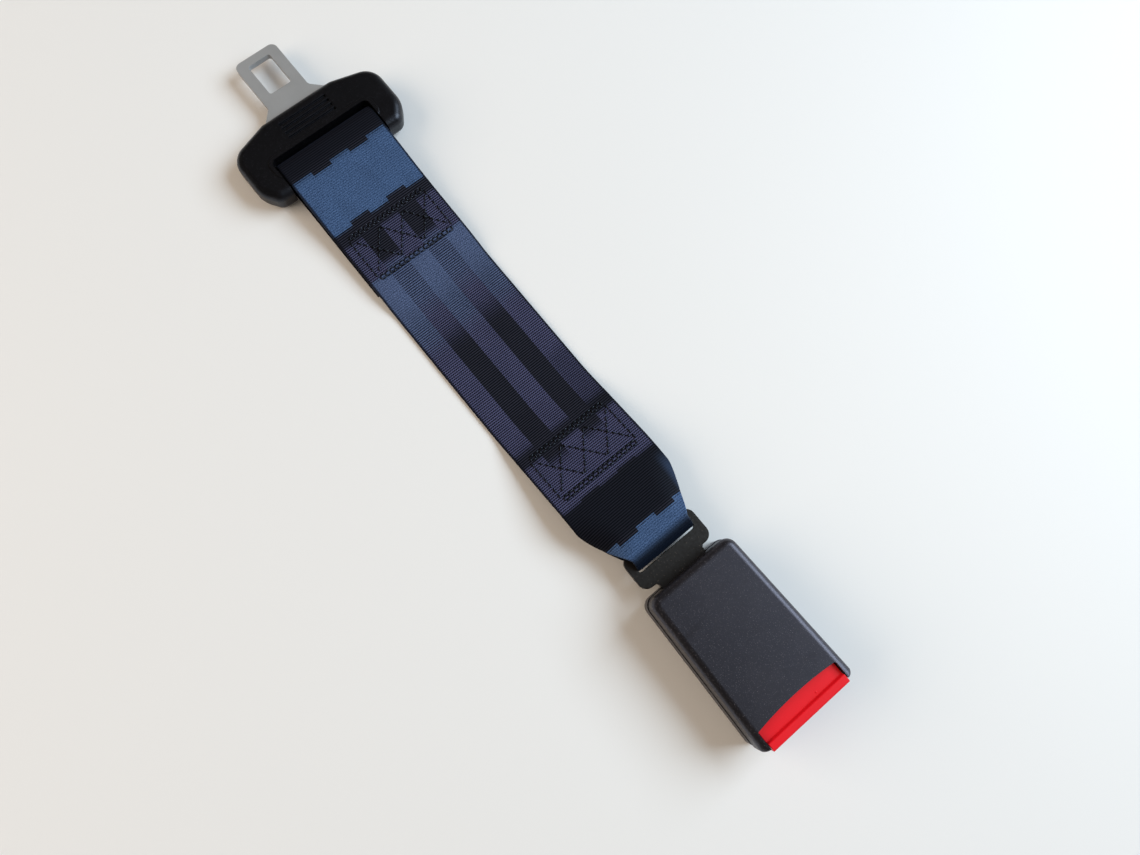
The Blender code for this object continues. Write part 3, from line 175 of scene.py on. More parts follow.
def make_studio():
    scene = bpy.context.scene
    scene.view_settings.view_transform = "Standard"
    world = bpy.data.worlds.new("studio")
    world.use_nodes = True
    background = world.node_tree.nodes["Background"]
    background.inputs["Color"].default_value = (1.0, 0.82, 0.63, 1.0)
    background.inputs["Strength"].default_value = 0.10
    scene.world = world
    make_area_light("window", (0.45, 1.32, 1.15), (1.4, 1.1), 38.5, (0.81, 0.93, 1.0), True)
    make_area_light("left_wall", (-0.75, -1.15, 0.75), (1.6, 1.0), 18.0, (1.0, 0.81, 0.62), False)
    make_area_light("right_wall", (1.45, -0.30, 0.70), (1.2, 1.0), 2.5, (1.0, 0.86, 0.72), False)
    make_area_light("ceiling", (0.0, -0.3, 1.6), (2.0, 2.0), 3.4, (1.0, 0.84, 0.66), False)

    mesh = bpy.data.meshes.new("floor")
    bm = bmesh.new()
    bmesh.ops.create_grid(bm, x_segments=1, y_segments=1, size=3.0)
    bm.to_mesh(mesh)
    bm.free()
    floor = bpy.data.objects.new("floor", mesh)
    bpy.context.scene.collection.objects.link(floor)
    floor.location = (0, 0, -0.0002)
    mesh.materials.append(floor_material())


# Shader nodes

class Nodes:
    """Builds one material's node tree. A value is a number, or the output socket of a node."""

    def __init__(self, name):
        self.material = bpy.data.materials.new(name)
        self.material.use_nodes = True
        self.tree = self.material.node_tree
        self.shader = self.tree.nodes["Principled BSDF"]

    def feed(self, socket, value):
        if isinstance(value, bpy.types.NodeSocket):
            self.tree.links.new(value, socket)
        else:
            socket.default_value = value

    def node(self, kind, **settings):
        node = self.tree.nodes.new(kind)
        for key, value in settings.items():
            setattr(node, key, value)
        return node

    def math(self, operation, a, b=0.0, c=0.0):
        node = self.node("ShaderNodeMath", operation=operation)
        for socket, value in zip(node.inputs, (a, b, c)):
            self.feed(socket, value)
        return node.outputs[0]

    def times(self, a, b):
        return self.math("MULTIPLY", a, b)

    def attribute(self, name):
        return self.node("ShaderNodeAttribute", attribute_name=name).outputs["Fac"]

    def place(self, scale=(1, 1, 1)):
        """Object coordinates, which are metres in the CAD frame, with a scale for each axis."""
        where = self.node("ShaderNodeTexCoord").outputs["Object"]
        mapping = self.node("ShaderNodeMapping")
        mapping.inputs["Scale"].default_value = scale
        self.tree.links.new(where, mapping.inputs["Vector"])
        return mapping.outputs[0]

    def vector(self, x, y, z=0.0):
        node = self.node("ShaderNodeCombineXYZ")
        for socket, value in zip(node.inputs, (x, y, z)):
            self.feed(socket, value)
        return node.outputs[0]

    def noise(self, where, scale, detail=2.0, roughness=0.5):
        node = self.node("ShaderNodeTexNoise")
        self.tree.links.new(where, node.inputs["Vector"])
        node.inputs["Scale"].default_value = scale
        node.inputs["Detail"].default_value = detail
        node.inputs["Roughness"].default_value = roughness
        return node.outputs["Fac"]

    def span(self, value, low, high, to_low=0.0, to_high=1.0):
        """The value moved from one span to another, and held at its ends."""
        node = self.node("ShaderNodeMapRange", clamp=True, interpolation_type="SMOOTHSTEP")
        for socket, number in zip(node.inputs, (value, low, high, to_low, to_high)):
            self.feed(socket, number)
        return node.outputs[0]

    def ramp(self, value, stops):
        node = self.node("ShaderNodeValToRGB")
        elements = node.color_ramp.elements
        while len(elements) < len(stops):
            elements.new(1.0)
        for element, (position, colour) in zip(elements, stops):
            element.position = position
            element.color = (*colour, 1.0)
        self.feed(node.inputs[0], value)
        return node.outputs[0]

    def mix(self, share, a, b):
        node = self.node("ShaderNodeMix", data_type="RGBA")
        self.feed(node.inputs["Factor"], share)
        for socket, value in ((node.inputs[6], a), (node.inputs[7], b)):
            if isinstance(value, tuple):
                socket.default_value = (*value, 1.0)
            else:
                self.tree.links.new(value, socket)
        return node.outputs[2]

    def bump(self, height, distance, strength=1.0):
        node = self.node("ShaderNodeBump")
        node.inputs["Strength"].default_value = strength
        node.inputs["Distance"].default_value = distance
        self.tree.links.new(height, node.inputs["Height"])
        self.tree.links.new(node.outputs[0], self.shader.inputs["Normal"])

    def set(self, **values):
        for key, value in values.items():
            socket = self.shader.inputs[key.replace("_", " ")]
            if isinstance(value, tuple):
                value = (*value, 1.0)
            self.feed(socket, value)
        return self.material


def floor_material():
    n = Nodes("floor")
    tone = n.noise(n.place(), 2.0)
    n.set(Base_Color=n.mix(tone, (0.785, 0.803, 0.835), (0.810, 0.825, 0.855)), Roughness=0.55)
    return n.material


PLASTIC_GRAIN = 0.00030


def plastic_material(name, dark, light, glint_colour, specular, tint, rough):
    """Moulded plastic with a spark-eroded surface, lighter dots painted in as glints, and faint rubbing
    marks.
    """
    n = Nodes(name)
    where = n.place()
    pits = n.noise(where, 1 / PLASTIC_GRAIN, 3.0, 0.7)
    patches = n.noise(where, 38.0, 4.0, 0.6)
    # Painted glints: small lighter dots mixed into the base colour.
    painted_glints = n.span(n.noise(where, 1 / (1.2 * PLASTIC_GRAIN), 0.0), 0.68, 0.80)
    face = n.mix(n.span(patches, 0.36, 0.66), dark, light)
    marks = n.span(n.noise(n.place((260, 55, 120)), 1.0, 4.0), 0.55, 0.80)
    shine = n.span(pits, 0.2, 0.8, rough - 0.08, rough + 0.08)
    n.set(
        Base_Color=n.mix(n.times(painted_glints, 0.7), face, glint_colour),
        Roughness=n.math("ADD", shine, n.times(marks, -0.05)),
        Specular_IOR_Level=specular, Specular_Tint=tint)
    n.bump(pits, 0.00005, 0.8)
    return n.material


def steel_material(name, colour, edge_colour, roughness, streak=(30, 900, 900), metallic=1.0):
    n = Nodes(name)
    streaks = n.noise(n.place(streak), 1.0, 4.0, 0.6)
    stains = n.noise(n.place(), 90.0, 4.0)
    pits = n.noise(n.place(), 2400.0, 2.0)
    face = n.mix(n.span(stains, 0.3, 0.8), colour, tuple(0.90 * c for c in colour))
    edge = n.attribute("edge")
    brushed = n.span(streaks, 0.2, 0.8, roughness - 0.06, roughness + 0.08)
    n.set(
        Base_Color=n.mix(edge, face, edge_colour),
        Metallic=metallic,
        Roughness=n.math("ADD", brushed, n.times(edge, 0.05)))
    n.bump(n.math("ADD", streaks, n.times(pits, 0.5)), 0.00002, 0.5)
    return n.material


def coated_material():
    """Satin black coating on steel, with faint orange peel and lighter spots from rubbing."""
    n = Nodes("coated_steel_surface")
    peel = n.noise(n.place(), 900.0, 2.0)
    dust = n.span(n.noise(n.place(), 1500.0, 0.0), 0.74, 0.80)
    lightened = n.span(n.noise(n.place(), 160.0, 4.0), 0.62, 0.82)
    colour = n.mix(n.times(dust, 0.5), (0.0060, 0.0050, 0.0052), (0.10, 0.08, 0.07))
    n.set(
        Base_Color=n.mix(n.times(lightened, 0.4), colour, (0.026, 0.022, 0.022)),
        Roughness=n.span(peel, 0.2, 0.8, 0.33, 0.46))
    n.bump(peel, 0.00003, 0.5)
    return n.material


def button_material():
    n = Nodes("button_red_surface")
    grain = n.noise(n.place(), 2600.0, 2.0)
    patches = n.noise(n.place(), 70.0, 3.0)
    n.set(
        Base_Color=n.mix(patches, (0.72, 0.007, 0.016), (0.82, 0.010, 0.022)),
        Roughness=n.span(grain, 0.2, 0.8, 0.34, 0.46), Specular_IOR_Level=0.3)
    n.bump(grain, 0.00003, 0.5)
    return n.material


def works_plastic_material():
    n = Nodes("works_plastic_surface")
    grain = n.noise(n.place(), 1500.0, 2.0)
    n.set(Base_Color=n.mix(grain, (0.50, 0.50, 0.46), (0.60, 0.60, 0.56)), Roughness=0.45)
    n.bump(grain, 0.00002, 0.4)
    return n.material


def thread_material():
    n = Nodes("thread_surface")
    twist = n.noise(n.place((1, 1, 1)), 5200.0, 1.0)
    n.set(
        Base_Color=n.mix(twist, (0.0004, 0.0004, 0.0006), (0.0050, 0.0050, 0.0070)),
        Roughness=n.span(twist, 0.3, 0.7, 0.26, 0.46),
        Specular_IOR_Level=0.60, Specular_Tint=(0.70, 0.80, 1.0))
    n.bump(twist, 0.00008, 0.8)
    return n.material


RIB_PITCH = 1.0
CELL_PITCH = 0.95
LANE_WIDTH = 9.5
REPEAT = 205.0
REPEAT_START = -119.8
# Where the colours change along one repeat, in mm: (place, share of satin blue, share of navy)
OUTER_LANES = (
    (0, 0, 0), (2, 0, 0), (4, 1, 0), (29.8, 1, 0), (32.4, 0, 0), (37, 0, 0.1), (39, 0, 0.5), (56, 0, 0.6),
    (57.5, 0.85, 1), (78, 0.72, 1), (92, 0.40, 1), (106, 0, 1), (136, 0, 0.95), (146, 0, 0.65),
    (153, 0, 0.45), (157, 0, 0), (160, 0, 0.1), (164, 0, 1), (184, 0, 1), (187, 0, 0), (205, 0, 0))
INNER_LANES = (
    (0, 0, 0), (4, 0, 0), (6, 1, 0), (27.8, 1, 0), (30.4, 0, 0), (50, 0, 0), (57, 0.50, 0.9),
    (72, 0.50, 0.9), (80, 0.30, 0.8), (90, 0, 0.5), (104, 0, 0), (162, 0, 0), (170, 0, 0.7),
    (183, 0, 1), (186, 0, 0), (205, 0, 0))


def webbing_material():
    """Woven polyester in five lanes: black cross ribs, navy check and satin blue blocks."""
    n = Nodes("webbing_surface")
    along = n.attribute("along")
    across = n.attribute("across")
    column = n.math("FLOOR", n.math("DIVIDE", across, CELL_PITCH))
    ragged = n.node("ShaderNodeTexWhiteNoise", noise_dimensions="1D")
    n.feed(ragged.inputs["W"], column)
    shifted = n.math("ADD", along, n.times(ragged.outputs["Value"], 0.25))
    repeat = n.math("FRACT", n.math("DIVIDE", n.math("SUBTRACT", shifted, REPEAT_START), REPEAT))

    def lanes(stops):
        return n.ramp(repeat, [(place / REPEAT, (satin, navy, 0.0)) for place, satin, navy in stops])

    lane = n.math("FLOOR", n.math("DIVIDE", n.math("ADD", across, 1000 * WEB_WIDTH / 2), LANE_WIDTH))
    inner = n.math("COMPARE", n.math("MODULO", lane, 2.0), 1.0, 0.1)
    shares = n.node("ShaderNodeSeparateColor")
    n.tree.links.new(n.mix(inner, lanes(OUTER_LANES), lanes(INNER_LANES)), shares.inputs[0])
    satin_share, navy_share = shares.outputs[0], shares.outputs[1]

    turn = 2 * math.pi
    rib_wave = n.math("COSINE", n.times(along, turn / RIB_PITCH))
    rib = n.math("MULTIPLY_ADD", rib_wave, 0.5, 0.5)
    row = n.math("FLOOR", n.math("DIVIDE", along, RIB_PITCH))
    brick = n.times(n.math("MODULO", row, 2.0), math.pi)
    cell_angle = n.math("ADD", n.times(across, turn / CELL_PITCH), brick)
    cell = n.math("MULTIPLY_ADD", n.math("COSINE", cell_angle), 0.5, 0.5)

    def stretched(along_scale, across_scale):
        return n.vector(n.times(along, along_scale), n.times(across, across_scale))

    filaments = n.noise(stretched(0.7, 7.0), 1.0, 3.0, 0.6)
    twill = n.noise(stretched(1.8, 2.6), 1.0, 2.0, 0.6)
    uneven = n.noise(stretched(0.06, 0.10), 1.0, 3.0)

    # The rib crests are painted lighter and the valleys between them darker: painted light and painted
    # shade over the ribs' bump, in the black and navy lanes.
    crest = n.span(rib, 0.32, 0.90)
    lustre = n.span(filaments, 0.15, 0.75, 0.55, 1.0)
    black = n.mix(n.times(crest, lustre), (0.0004, 0.0004, 0.0007), (0.029, 0.029, 0.047))
    check = n.times(n.span(cell, 0.10, 0.75, 0.30, 1.0), n.span(rib, 0.12, 0.65))
    navy = n.mix(n.times(check, lustre), (0.0012, 0.0013, 0.0030), (0.124, 0.130, 0.275))
    satin_tone = n.math("ADD", n.times(twill, 0.75), n.times(filaments, 0.35))
    satin_tone = n.math("ADD", satin_tone, n.times(rib, 0.10))
    gleam = n.span(satin_tone, 0.42, 0.80)
    bright_satin = n.mix(gleam, (0.013, 0.032, 0.082), (0.085, 0.155, 0.325))
    dusty_satin = n.mix(gleam, (0.020, 0.034, 0.078), (0.112, 0.155, 0.300))
    satin_shown = n.span(n.math("ADD", satin_share, n.times(rib, 0.6)), 0.62, 0.90)
    navy_shown = n.span(n.math("ADD", navy_share, n.times(rib, 0.35)), 0.35, 0.85)
    fade = n.times(satin_shown, n.span(satin_share, 0.0, 0.45))
    woven = n.mix(fade, n.mix(navy_shown, black, navy), n.mix(navy_shown, bright_satin, dusty_satin))
    selvedge = n.span(n.math("ABSOLUTE", across), 23.1, 23.7)
    coloured = n.mix(n.times(selvedge, 0.85), woven, (0.004, 0.004, 0.008))
    # Painted light on the cloth: a painted highlight on its curled edge, and painted shade at both bends,
    # in the black band before the anchor plate and along a stretch of the last lane.
    # Painted highlight on the curled edge of the +Y side, before the anchor plate.
    lightened = n.times(n.span(along, 68.0, 78.0), n.span(along, 95.0, 90.0))
    lightened = n.times(lightened, n.span(across, 18.5, 22.5, 0.0, 0.75))
    coloured = n.mix(lightened, coloured, (0.060, 0.100, 0.205))
    # Painted shade at both bends round the bars; the bump is also flattened there.
    painted_bend_shade = n.math("MAXIMUM", n.span(along, 94.5, 99.0, 0.0, 0.93), n.span(along, -112.0, -122.0, 0.0, 0.65))
    # Painted shade over the black band before the anchor plate.
    painted_band_shade = n.times(n.span(along, 63.0, 68.0, 0.0, 0.60), n.span(along, 90.0, 86.0))
    # Painted shade along a stretch of the last lane.
    painted_lane_shade = n.times(n.span(along, 3.0, 12.0, 0.0, 0.36), n.span(along, 44.0, 40.0))
    painted_lane_shade = n.times(painted_lane_shade, n.span(across, 13.6, 15.0))
    # The painted shade of the band, where no satin shows, and of the last lane.
    painted_band_and_lane_shade = n.math("MAXIMUM", n.times(painted_band_shade, n.math("SUBTRACT", 1.0, fade)), painted_lane_shade)
    # Random uneven tone of the weave together with all the painted shade, which darken the colour towards
    # near black.
    uneven_tone_and_painted_shade = n.math("MAXIMUM", n.math("MAXIMUM", n.span(uneven, 0.35, 0.75, 0.0, 0.16), painted_bend_shade), painted_band_and_lane_shade)
    matt = n.span(filaments, 0.2, 0.8, 0.60, 0.72)
    n.set(
        Base_Color=n.mix(uneven_tone_and_painted_shade, coloured, (0.0012, 0.0012, 0.0022)),
        Roughness=n.math("SUBTRACT", matt, n.times(fade, 0.26)),
        Sheen_Weight=0.02, Sheen_Roughness=0.40, Sheen_Tint=(0.45, 0.60, 1.0),
        Specular_IOR_Level=0.16, Specular_Tint=(0.62, 0.76, 1.0))
    ribs_high = n.times(rib, n.math("SUBTRACT", 1.0, n.times(fade, 0.8)))
    cells_high = n.times(n.times(cell, navy_shown), 0.5)
    height = n.math("ADD", n.math("ADD", ribs_high, cells_high), n.times(filaments, 0.35))
    n.bump(n.times(height, n.math("SUBTRACT", 1.0, painted_bend_shade)), 0.00020, 0.8)
    return n.material


# Outlines and solids

def fillet(corners):
    """Points of a closed outline whose corners (x, y, radius) are rounded with arcs."""
    points = []
    count = len(corners)
    for index, (x, y, radius) in enumerate(corners):
        here = Vector((x, y))
        if radius <= 0:
            points.append(here)
            continue
        before = (Vector(corners[index - 1][:2]) - here).normalized()
        after = (Vector(corners[(index + 1) % count][:2]) - here).normalized()
        half = before.angle(after) / 2
        reach = radius / math.tan(half)
        centre = here + (before + after).normalized() * radius / math.sin(half)
        start = here + before * reach - centre
        turn = start.angle_signed(here + after * reach - centre)
        steps = max(3, math.ceil(abs(turn) / ARC_STEP))
        for index_step in range(steps + 1):
            points.append(centre + Matrix.Rotation(-turn * index_step / steps, 2) @ start)
    return points


def mirrored(half):
    return half + [(x, -y, radius) for x, y, radius in reversed(half)]


def rectangle(x0, x1, y0, y1, radius=0.0):
    return [(x0, y0, radius), (x0, y1, radius), (x1, y1, radius), (x1, y0, radius)]


def spaced(start, end, count):
    return [start + (end - start) * index / count for index in range(count + 1)]


def plate_mesh(outlines, bottom, top):
    """A flat plate between two heights. The first outline is its edge, the others are holes."""
    curve = bpy.data.curves.new("outline", "CURVE")
    curve.dimensions = "2D"
    curve.fill_mode = "BOTH"
    curve.extrude = (top - bottom) / 2
    for outline in outlines:
        points = fillet(outline)
        spline = curve.splines.new("POLY")
        spline.points.add(len(points) - 1)
        for slot, point in zip(spline.points, points):
            slot.co = (point.x, point.y, 0, 1)
        spline.use_cyclic_u = True
    holder = bpy.data.objects.new("outline", curve)
    bpy.context.scene.collection.objects.link(holder)
    mesh = bpy.data.meshes.new_from_object(holder.evaluated_get(bpy.context.evaluated_depsgraph_get()))
    bpy.data.objects.remove(holder)
    bm = bmesh.new()
    bm.from_mesh(mesh)
    bmesh.ops.remove_doubles(bm, verts=bm.verts, dist=WELD)
    bmesh.ops.recalc_face_normals(bm, faces=bm.faces)
    bmesh.ops.dissolve_limit(bm, angle_limit=math.radians(0.5), verts=bm.verts, edges=bm.edges)
    bm.to_mesh(mesh)
    bm.free()
    mesh.transform(Matrix.Translation((0, 0, (top + bottom) / 2)))
    return mesh


def inset_corners(corners, depth):
    """The corners of an outline moved inwards, with their radii made smaller by as much."""
    places = [Vector((x, y)) for x, y, _ in corners]
    area = sum(a.x * b.y - b.x * a.y for a, b in zip(places, places[1:] + places[:1]))
    side = 1 if area > 0 else -1
    done = []
    for index, here in enumerate(places):
        after = places[(index + 1) % len(places)] - here
        before = here - places[index - 1]
        first = Vector((-before.y, before.x)).normalized() * side
        second = Vector((-after.y, after.x)).normalized() * side
        moved = here + (first + second) * depth / (1 + first.dot(second))
        done.append((moved.x, moved.y, max(corners[index][2] - depth, MIN_RADIUS)))
    return done


def dome_mesh(outline, bottom, top, low_edge, high_edge, segments):
    """A solid with round edges. outline(depth) gives its corners at a depth inside its widest outline."""
    rings = []
    for angle in spaced(0, 90, segments) if low_edge else (90,):
        turn = math.radians(angle)
        rings.append((low_edge * (1 - math.sin(turn)), bottom + low_edge * (1 - math.cos(turn))))
    for angle in spaced(0, 90, segments) if high_edge else (0,):
        turn = math.radians(angle)
        rings.append((high_edge * (1 - math.cos(turn)), top - high_edge * (1 - math.sin(turn))))
    bm = bmesh.new()
    rows = []
    for depth, height in rings:
        rows.append([bm.verts.new((point.x, point.y, height)) for point in fillet(outline(depth))])
    count = len(rows[0])
    for first, second in zip(rows, rows[1:]):
        for index in range(count):
            after = (index + 1) % count
            bm.faces.new((first[index], first[after], second[after], second[index]))
    bm.faces.new(rows[0])
    bm.faces.new(rows[-1])
    bmesh.ops.recalc_face_normals(bm, faces=bm.faces)
    mesh = bpy.data.meshes.new("dome")
    bm.to_mesh(mesh)
    bm.free()
    return mesh


def profile_mesh(outlines, y0, y1):
    """A plate whose outlines are drawn in X and Z, between two places across the strap."""
    mesh = plate_mesh(outlines, -y1, -y0)
    mesh.transform(Matrix.Rotation(math.radians(90), 4, "X"))
    return mesh


def block_mesh(x0, x1, y0, y1, z0, z1):
    bm = bmesh.new()
    bmesh.ops.create_cube(bm, size=1.0)
    size = Matrix.Diagonal((x1 - x0, y1 - y0, z1 - z0, 1))
    centre = Matrix.Translation(((x0 + x1) / 2, (y0 + y1) / 2, (z0 + z1) / 2))
    bmesh.ops.transform(bm, matrix=centre @ size, verts=bm.verts)
    mesh = bpy.data.meshes.new("block")
    bm.to_mesh(mesh)
    bm.free()
    return mesh


def rod_mesh(x, z, radius, length, segments=72):
    bm = bmesh.new()
    bmesh.ops.create_cone(
        bm, cap_ends=True, segments=segments, radius1=radius, radius2=radius, depth=length)
    turn = Matrix.Rotation(math.radians(90), 4, "X")
    bmesh.ops.transform(bm, matrix=Matrix.Translation((x, 0, z)) @ turn, verts=bm.verts)
    mesh = bpy.data.meshes.new("rod")
    bm.to_mesh(mesh)
    bm.free()
    return mesh


def round_edges(mesh, width, segments, chosen):
    """Rounds the sharp edges for which chosen(middle of the edge) is true."""
    bm = bmesh.new()
    bm.from_mesh(mesh)
    edges = []
    for edge in bm.edges:
        middle = (edge.verts[0].co + edge.verts[1].co) / 2
        if edge.calc_face_angle(0) > SHARP_ANGLE and chosen(middle):
            edges.append(edge)
    bmesh.ops.bevel(
        bm, geom=edges, offset=width, offset_type="OFFSET", segments=segments, profile=0.5,
        affect="EDGES", clamp_overlap=True)
    bm.to_mesh(mesh)
    bm.free()
    return mesh


def combined(mesh, steps):
    """The mesh after booleans (operation, other mesh), one after another."""
    holder = bpy.data.objects.new("solid", mesh)
    bpy.context.scene.collection.objects.link(holder)
    tools = []
    for operation, other in steps:
        tool = bpy.data.objects.new("tool", other)
        bpy.context.scene.collection.objects.link(tool)
        tools.append(tool)
        boolean = holder.modifiers.new("boolean", "BOOLEAN")
        boolean.operation = operation
        boolean.object = tool
        boolean.solver = "EXACT"
    result = bpy.data.meshes.new_from_object(holder.evaluated_get(bpy.context.evaluated_depsgraph_get()))
    for item in (holder, *tools):
        bpy.data.objects.remove(item)
    return result


def add_piece(name, mesh, material, body, nodes, sharp=30):
    mesh.name = name
    mesh.materials.clear()
    mesh.materials.append(material)
    mesh.shade_smooth()
    mesh.set_sharp_from_angle(angle=math.radians(sharp))
    piece = bpy.data.objects.new(name, mesh)
    bpy.context.scene.collection.objects.link(piece)
    weighted = piece.modifiers.new("normals", "WEIGHTED_NORMAL")
    weighted.keep_sharp = True
    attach(piece, body)
    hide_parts(*nodes)
    return piece


# Webbing

def hermite(x0, z0, slope0, x1, z1, slope1, x):
    span = x1 - x0
    t = (x - x0) / span
    start = (1 + 2 * t) * (1 - t) ** 2 * z0 + t * (1 - t) ** 2 * span * slope0
    end = t * t * (3 - 2 * t) * z1 + t * t * (t - 1) * span * slope1
    return start + end


UPPER_KNOTS = (
    (WEB_BAR_X, WEB_BAR_Z + TONGUE_LOOP_RADIUS),
    (TONGUE_SEAM_X, TONGUE_SEAM_Z + LAYER_PITCH),
    (TONGUE_TAIL_X, TAIL_Z + LAYER_PITCH),
    (TONGUE_TAIL_X + SETTLE_LENGTH, REST_Z),
    (BUCKLE_TAIL_X - SETTLE_LENGTH, REST_Z),
    (BUCKLE_TAIL_X, TAIL_Z + LAYER_PITCH),
    (BUCKLE_SEAM_X, BUCKLE_SEAM_Z + LAYER_PITCH),
    (ANCHOR_BAR_X, ANCHOR_Z + ANCHOR_LOOP_RADIUS),
)


def knot_slopes():
    slopes = [0.0]
    for before, here, after in zip(UPPER_KNOTS, UPPER_KNOTS[1:], UPPER_KNOTS[2:]):
        rise = (here[1] - before[1]) / (here[0] - before[0])
        fall = (after[1] - here[1]) / (after[0] - here[0])
        slopes.append(2 * rise * fall / (rise + fall) if rise * fall > 0 else 0.0)
    return slopes + [0.0]


UPPER_SLOPES = knot_slopes()


def upper_height(x):
    """Height of the middle of the upper layer, from one bar to the other."""
    for index in range(len(UPPER_KNOTS) - 1):
        x1, z1 = UPPER_KNOTS[index + 1]
        if x <= x1 or index == len(UPPER_KNOTS) - 2:
            x0, z0 = UPPER_KNOTS[index]
            return hermite(x0, z0, UPPER_SLOPES[index], x1, z1, UPPER_SLOPES[index + 1], x)


def lower_height(x):
    """Height of the middle of the layer that is folded back."""
    if TONGUE_SEAM_X <= x <= BUCKLE_SEAM_X:
        return upper_height(x) - LAYER_PITCH
    if x < TONGUE_SEAM_X:
        seam_x, bar_x, bar_z = TONGUE_SEAM_X, WEB_BAR_X, WEB_BAR_Z - TONGUE_LOOP_RADIUS
    else:
        seam_x, bar_x, bar_z = BUCKLE_SEAM_X, ANCHOR_BAR_X, ANCHOR_Z - ANCHOR_LOOP_RADIUS
    step = 0.0001 if bar_x < seam_x else -0.0001
    slope = (upper_height(seam_x + step) - upper_height(seam_x)) / step
    return hermite(seam_x, upper_height(seam_x) - LAYER_PITCH, slope, bar_x, bar_z, 0.0, x)


def smooth_step(value, low, high):
    t = min(max((value - low) / (high - low), 0.0), 1.0)
    return t * t * (3 - 2 * t)


def web_half_width(x):
    gather = (x - (ANCHOR_BAR_X - GATHER_LENGTH)) / GATHER_LENGTH
    gather = min(max(gather, 0.0), 1.0)
    return (WEB_WIDTH - (WEB_WIDTH - GATHER_WIDTH) * gather ** 1.3) / 2


def web_path():
    """The strap's middle line as (x, z, layer) from tail to tail. Layer is 1 on top, -1 below."""
    points = []
    for x in spaced(TONGUE_TAIL_X, WEB_BAR_X, 130):
        points.append((x, lower_height(x), -1))
    for angle in spaced(-90, 90, 40)[1:-1]:
        turn = math.radians(angle)
        x = WEB_BAR_X - TONGUE_LOOP_RADIUS * math.cos(turn)
        points.append((x, WEB_BAR_Z + TONGUE_LOOP_RADIUS * math.sin(turn), 0))
    for x in spaced(WEB_BAR_X, ANCHOR_BAR_X, 440):
        points.append((x, upper_height(x), 1))
    for angle in spaced(90, -90, 40)[1:-1]:
        turn = math.radians(angle)
        x = ANCHOR_BAR_X + ANCHOR_LOOP_RADIUS * math.cos(turn)
        points.append((x, ANCHOR_Z + ANCHOR_LOOP_RADIUS * math.sin(turn), 0))
    for x in spaced(ANCHOR_BAR_X, BUCKLE_TAIL_X, 130):
        points.append((x, lower_height(x), -1))
    return points


def web_stations(step):
    """Evenly spaced (place along the strap, x, z, tangent, layer). Place 0 is over the tongue's bar."""
    path = web_path()
    run = [0.0]
    for (x0, z0, _), (x1, z1, _) in zip(path, path[1:]):
        run.append(run[-1] + math.hypot(x1 - x0, z1 - z0))
    start = next(r for r, (x, z, layer) in zip(run, path) if layer == 1)
    count = round(run[-1] / step)
    stations = []
    index = 0
    for place in spaced(0.0, run[-1], count):
        while index < len(run) - 2 and run[index + 1] < place:
            index += 1
        share = (place - run[index]) / (run[index + 1] - run[index])
        x0, z0, layer = path[index]
        x1, z1, _ = path[index + 1]
        stations.append((place - start, x0 + (x1 - x0) * share, z0 + (z1 - z0) * share, layer))
    done = []
    for here in range(len(stations)):
        before = stations[max(here - 1, 0)]
        after = stations[min(here + 1, len(stations) - 1)]
        tangent = Vector((after[1] - before[1], 0, after[2] - before[2])).normalized()
        done.append((*stations[here][:3], tangent, stations[here][3]))
    return done, run[-1]


WEB_COLUMNS = 36
EDGE_STEPS = 5
CURL_DEPTH = 0.0038


def edge_curl(x, layer):
    """How far the edges turn towards the other layer beside the anchor plate."""
    if layer == 1:
        rise = smooth_step(x, ANCHOR_BAR_X - 0.0310, ANCHOR_BAR_X - 0.0130)
        fall = 1 - smooth_step(x, ANCHOR_BAR_X - 0.0110, ANCHOR_BAR_X - 0.0005)
        return CURL_DEPTH * rise * fall
    if layer == -1 and x > BUCKLE_SEAM_X:
        rise = smooth_step(x, ANCHOR_BAR_X - 0.0285, ANCHOR_BAR_X - 0.0160)
        fall = 1 - smooth_step(x, ANCHOR_BAR_X - 0.0120, ANCHOR_BAR_X - 0.0050)
        return CURL_DEPTH / 4 * rise * fall
    return 0.0


def side_slip(x, layer):
    """The folded-back layers lie slightly to one side of the upper one."""
    if layer != -1:
        return 0.0
    if x < 0:
        return -0.0005 * smooth_step(x, WEB_BAR_X, TONGUE_SEAM_X)
    return 0.0005 * (1 - smooth_step(x, BUCKLE_SEAM_X, ANCHOR_BAR_X))


def web_section(x, layer):
    """Middle line of one cross section: (across on the cloth, y, drop)."""
    half = web_half_width(x)
    curl = edge_curl(x, layer)
    flat_share = 0.52
    line = []
    for q in spaced(-1.0, 1.0, WEB_COLUMNS):
        t = max((abs(q) - flat_share) / (1 - flat_share), 0.0)
        line.append((half * q, -curl * t ** 2.4))
    middle = WEB_COLUMNS // 2
    across = [0.0] * len(line)
    for index in range(middle, WEB_COLUMNS):
        (y0, n0), (y1, n1) = line[index], line[index + 1]
        across[index + 1] = across[index] + math.hypot(y1 - y0, n1 - n0)
        across[WEB_COLUMNS - index - 1] = -across[index + 1]
    return [(a, y, n) for a, (y, n) in zip(across, line)]


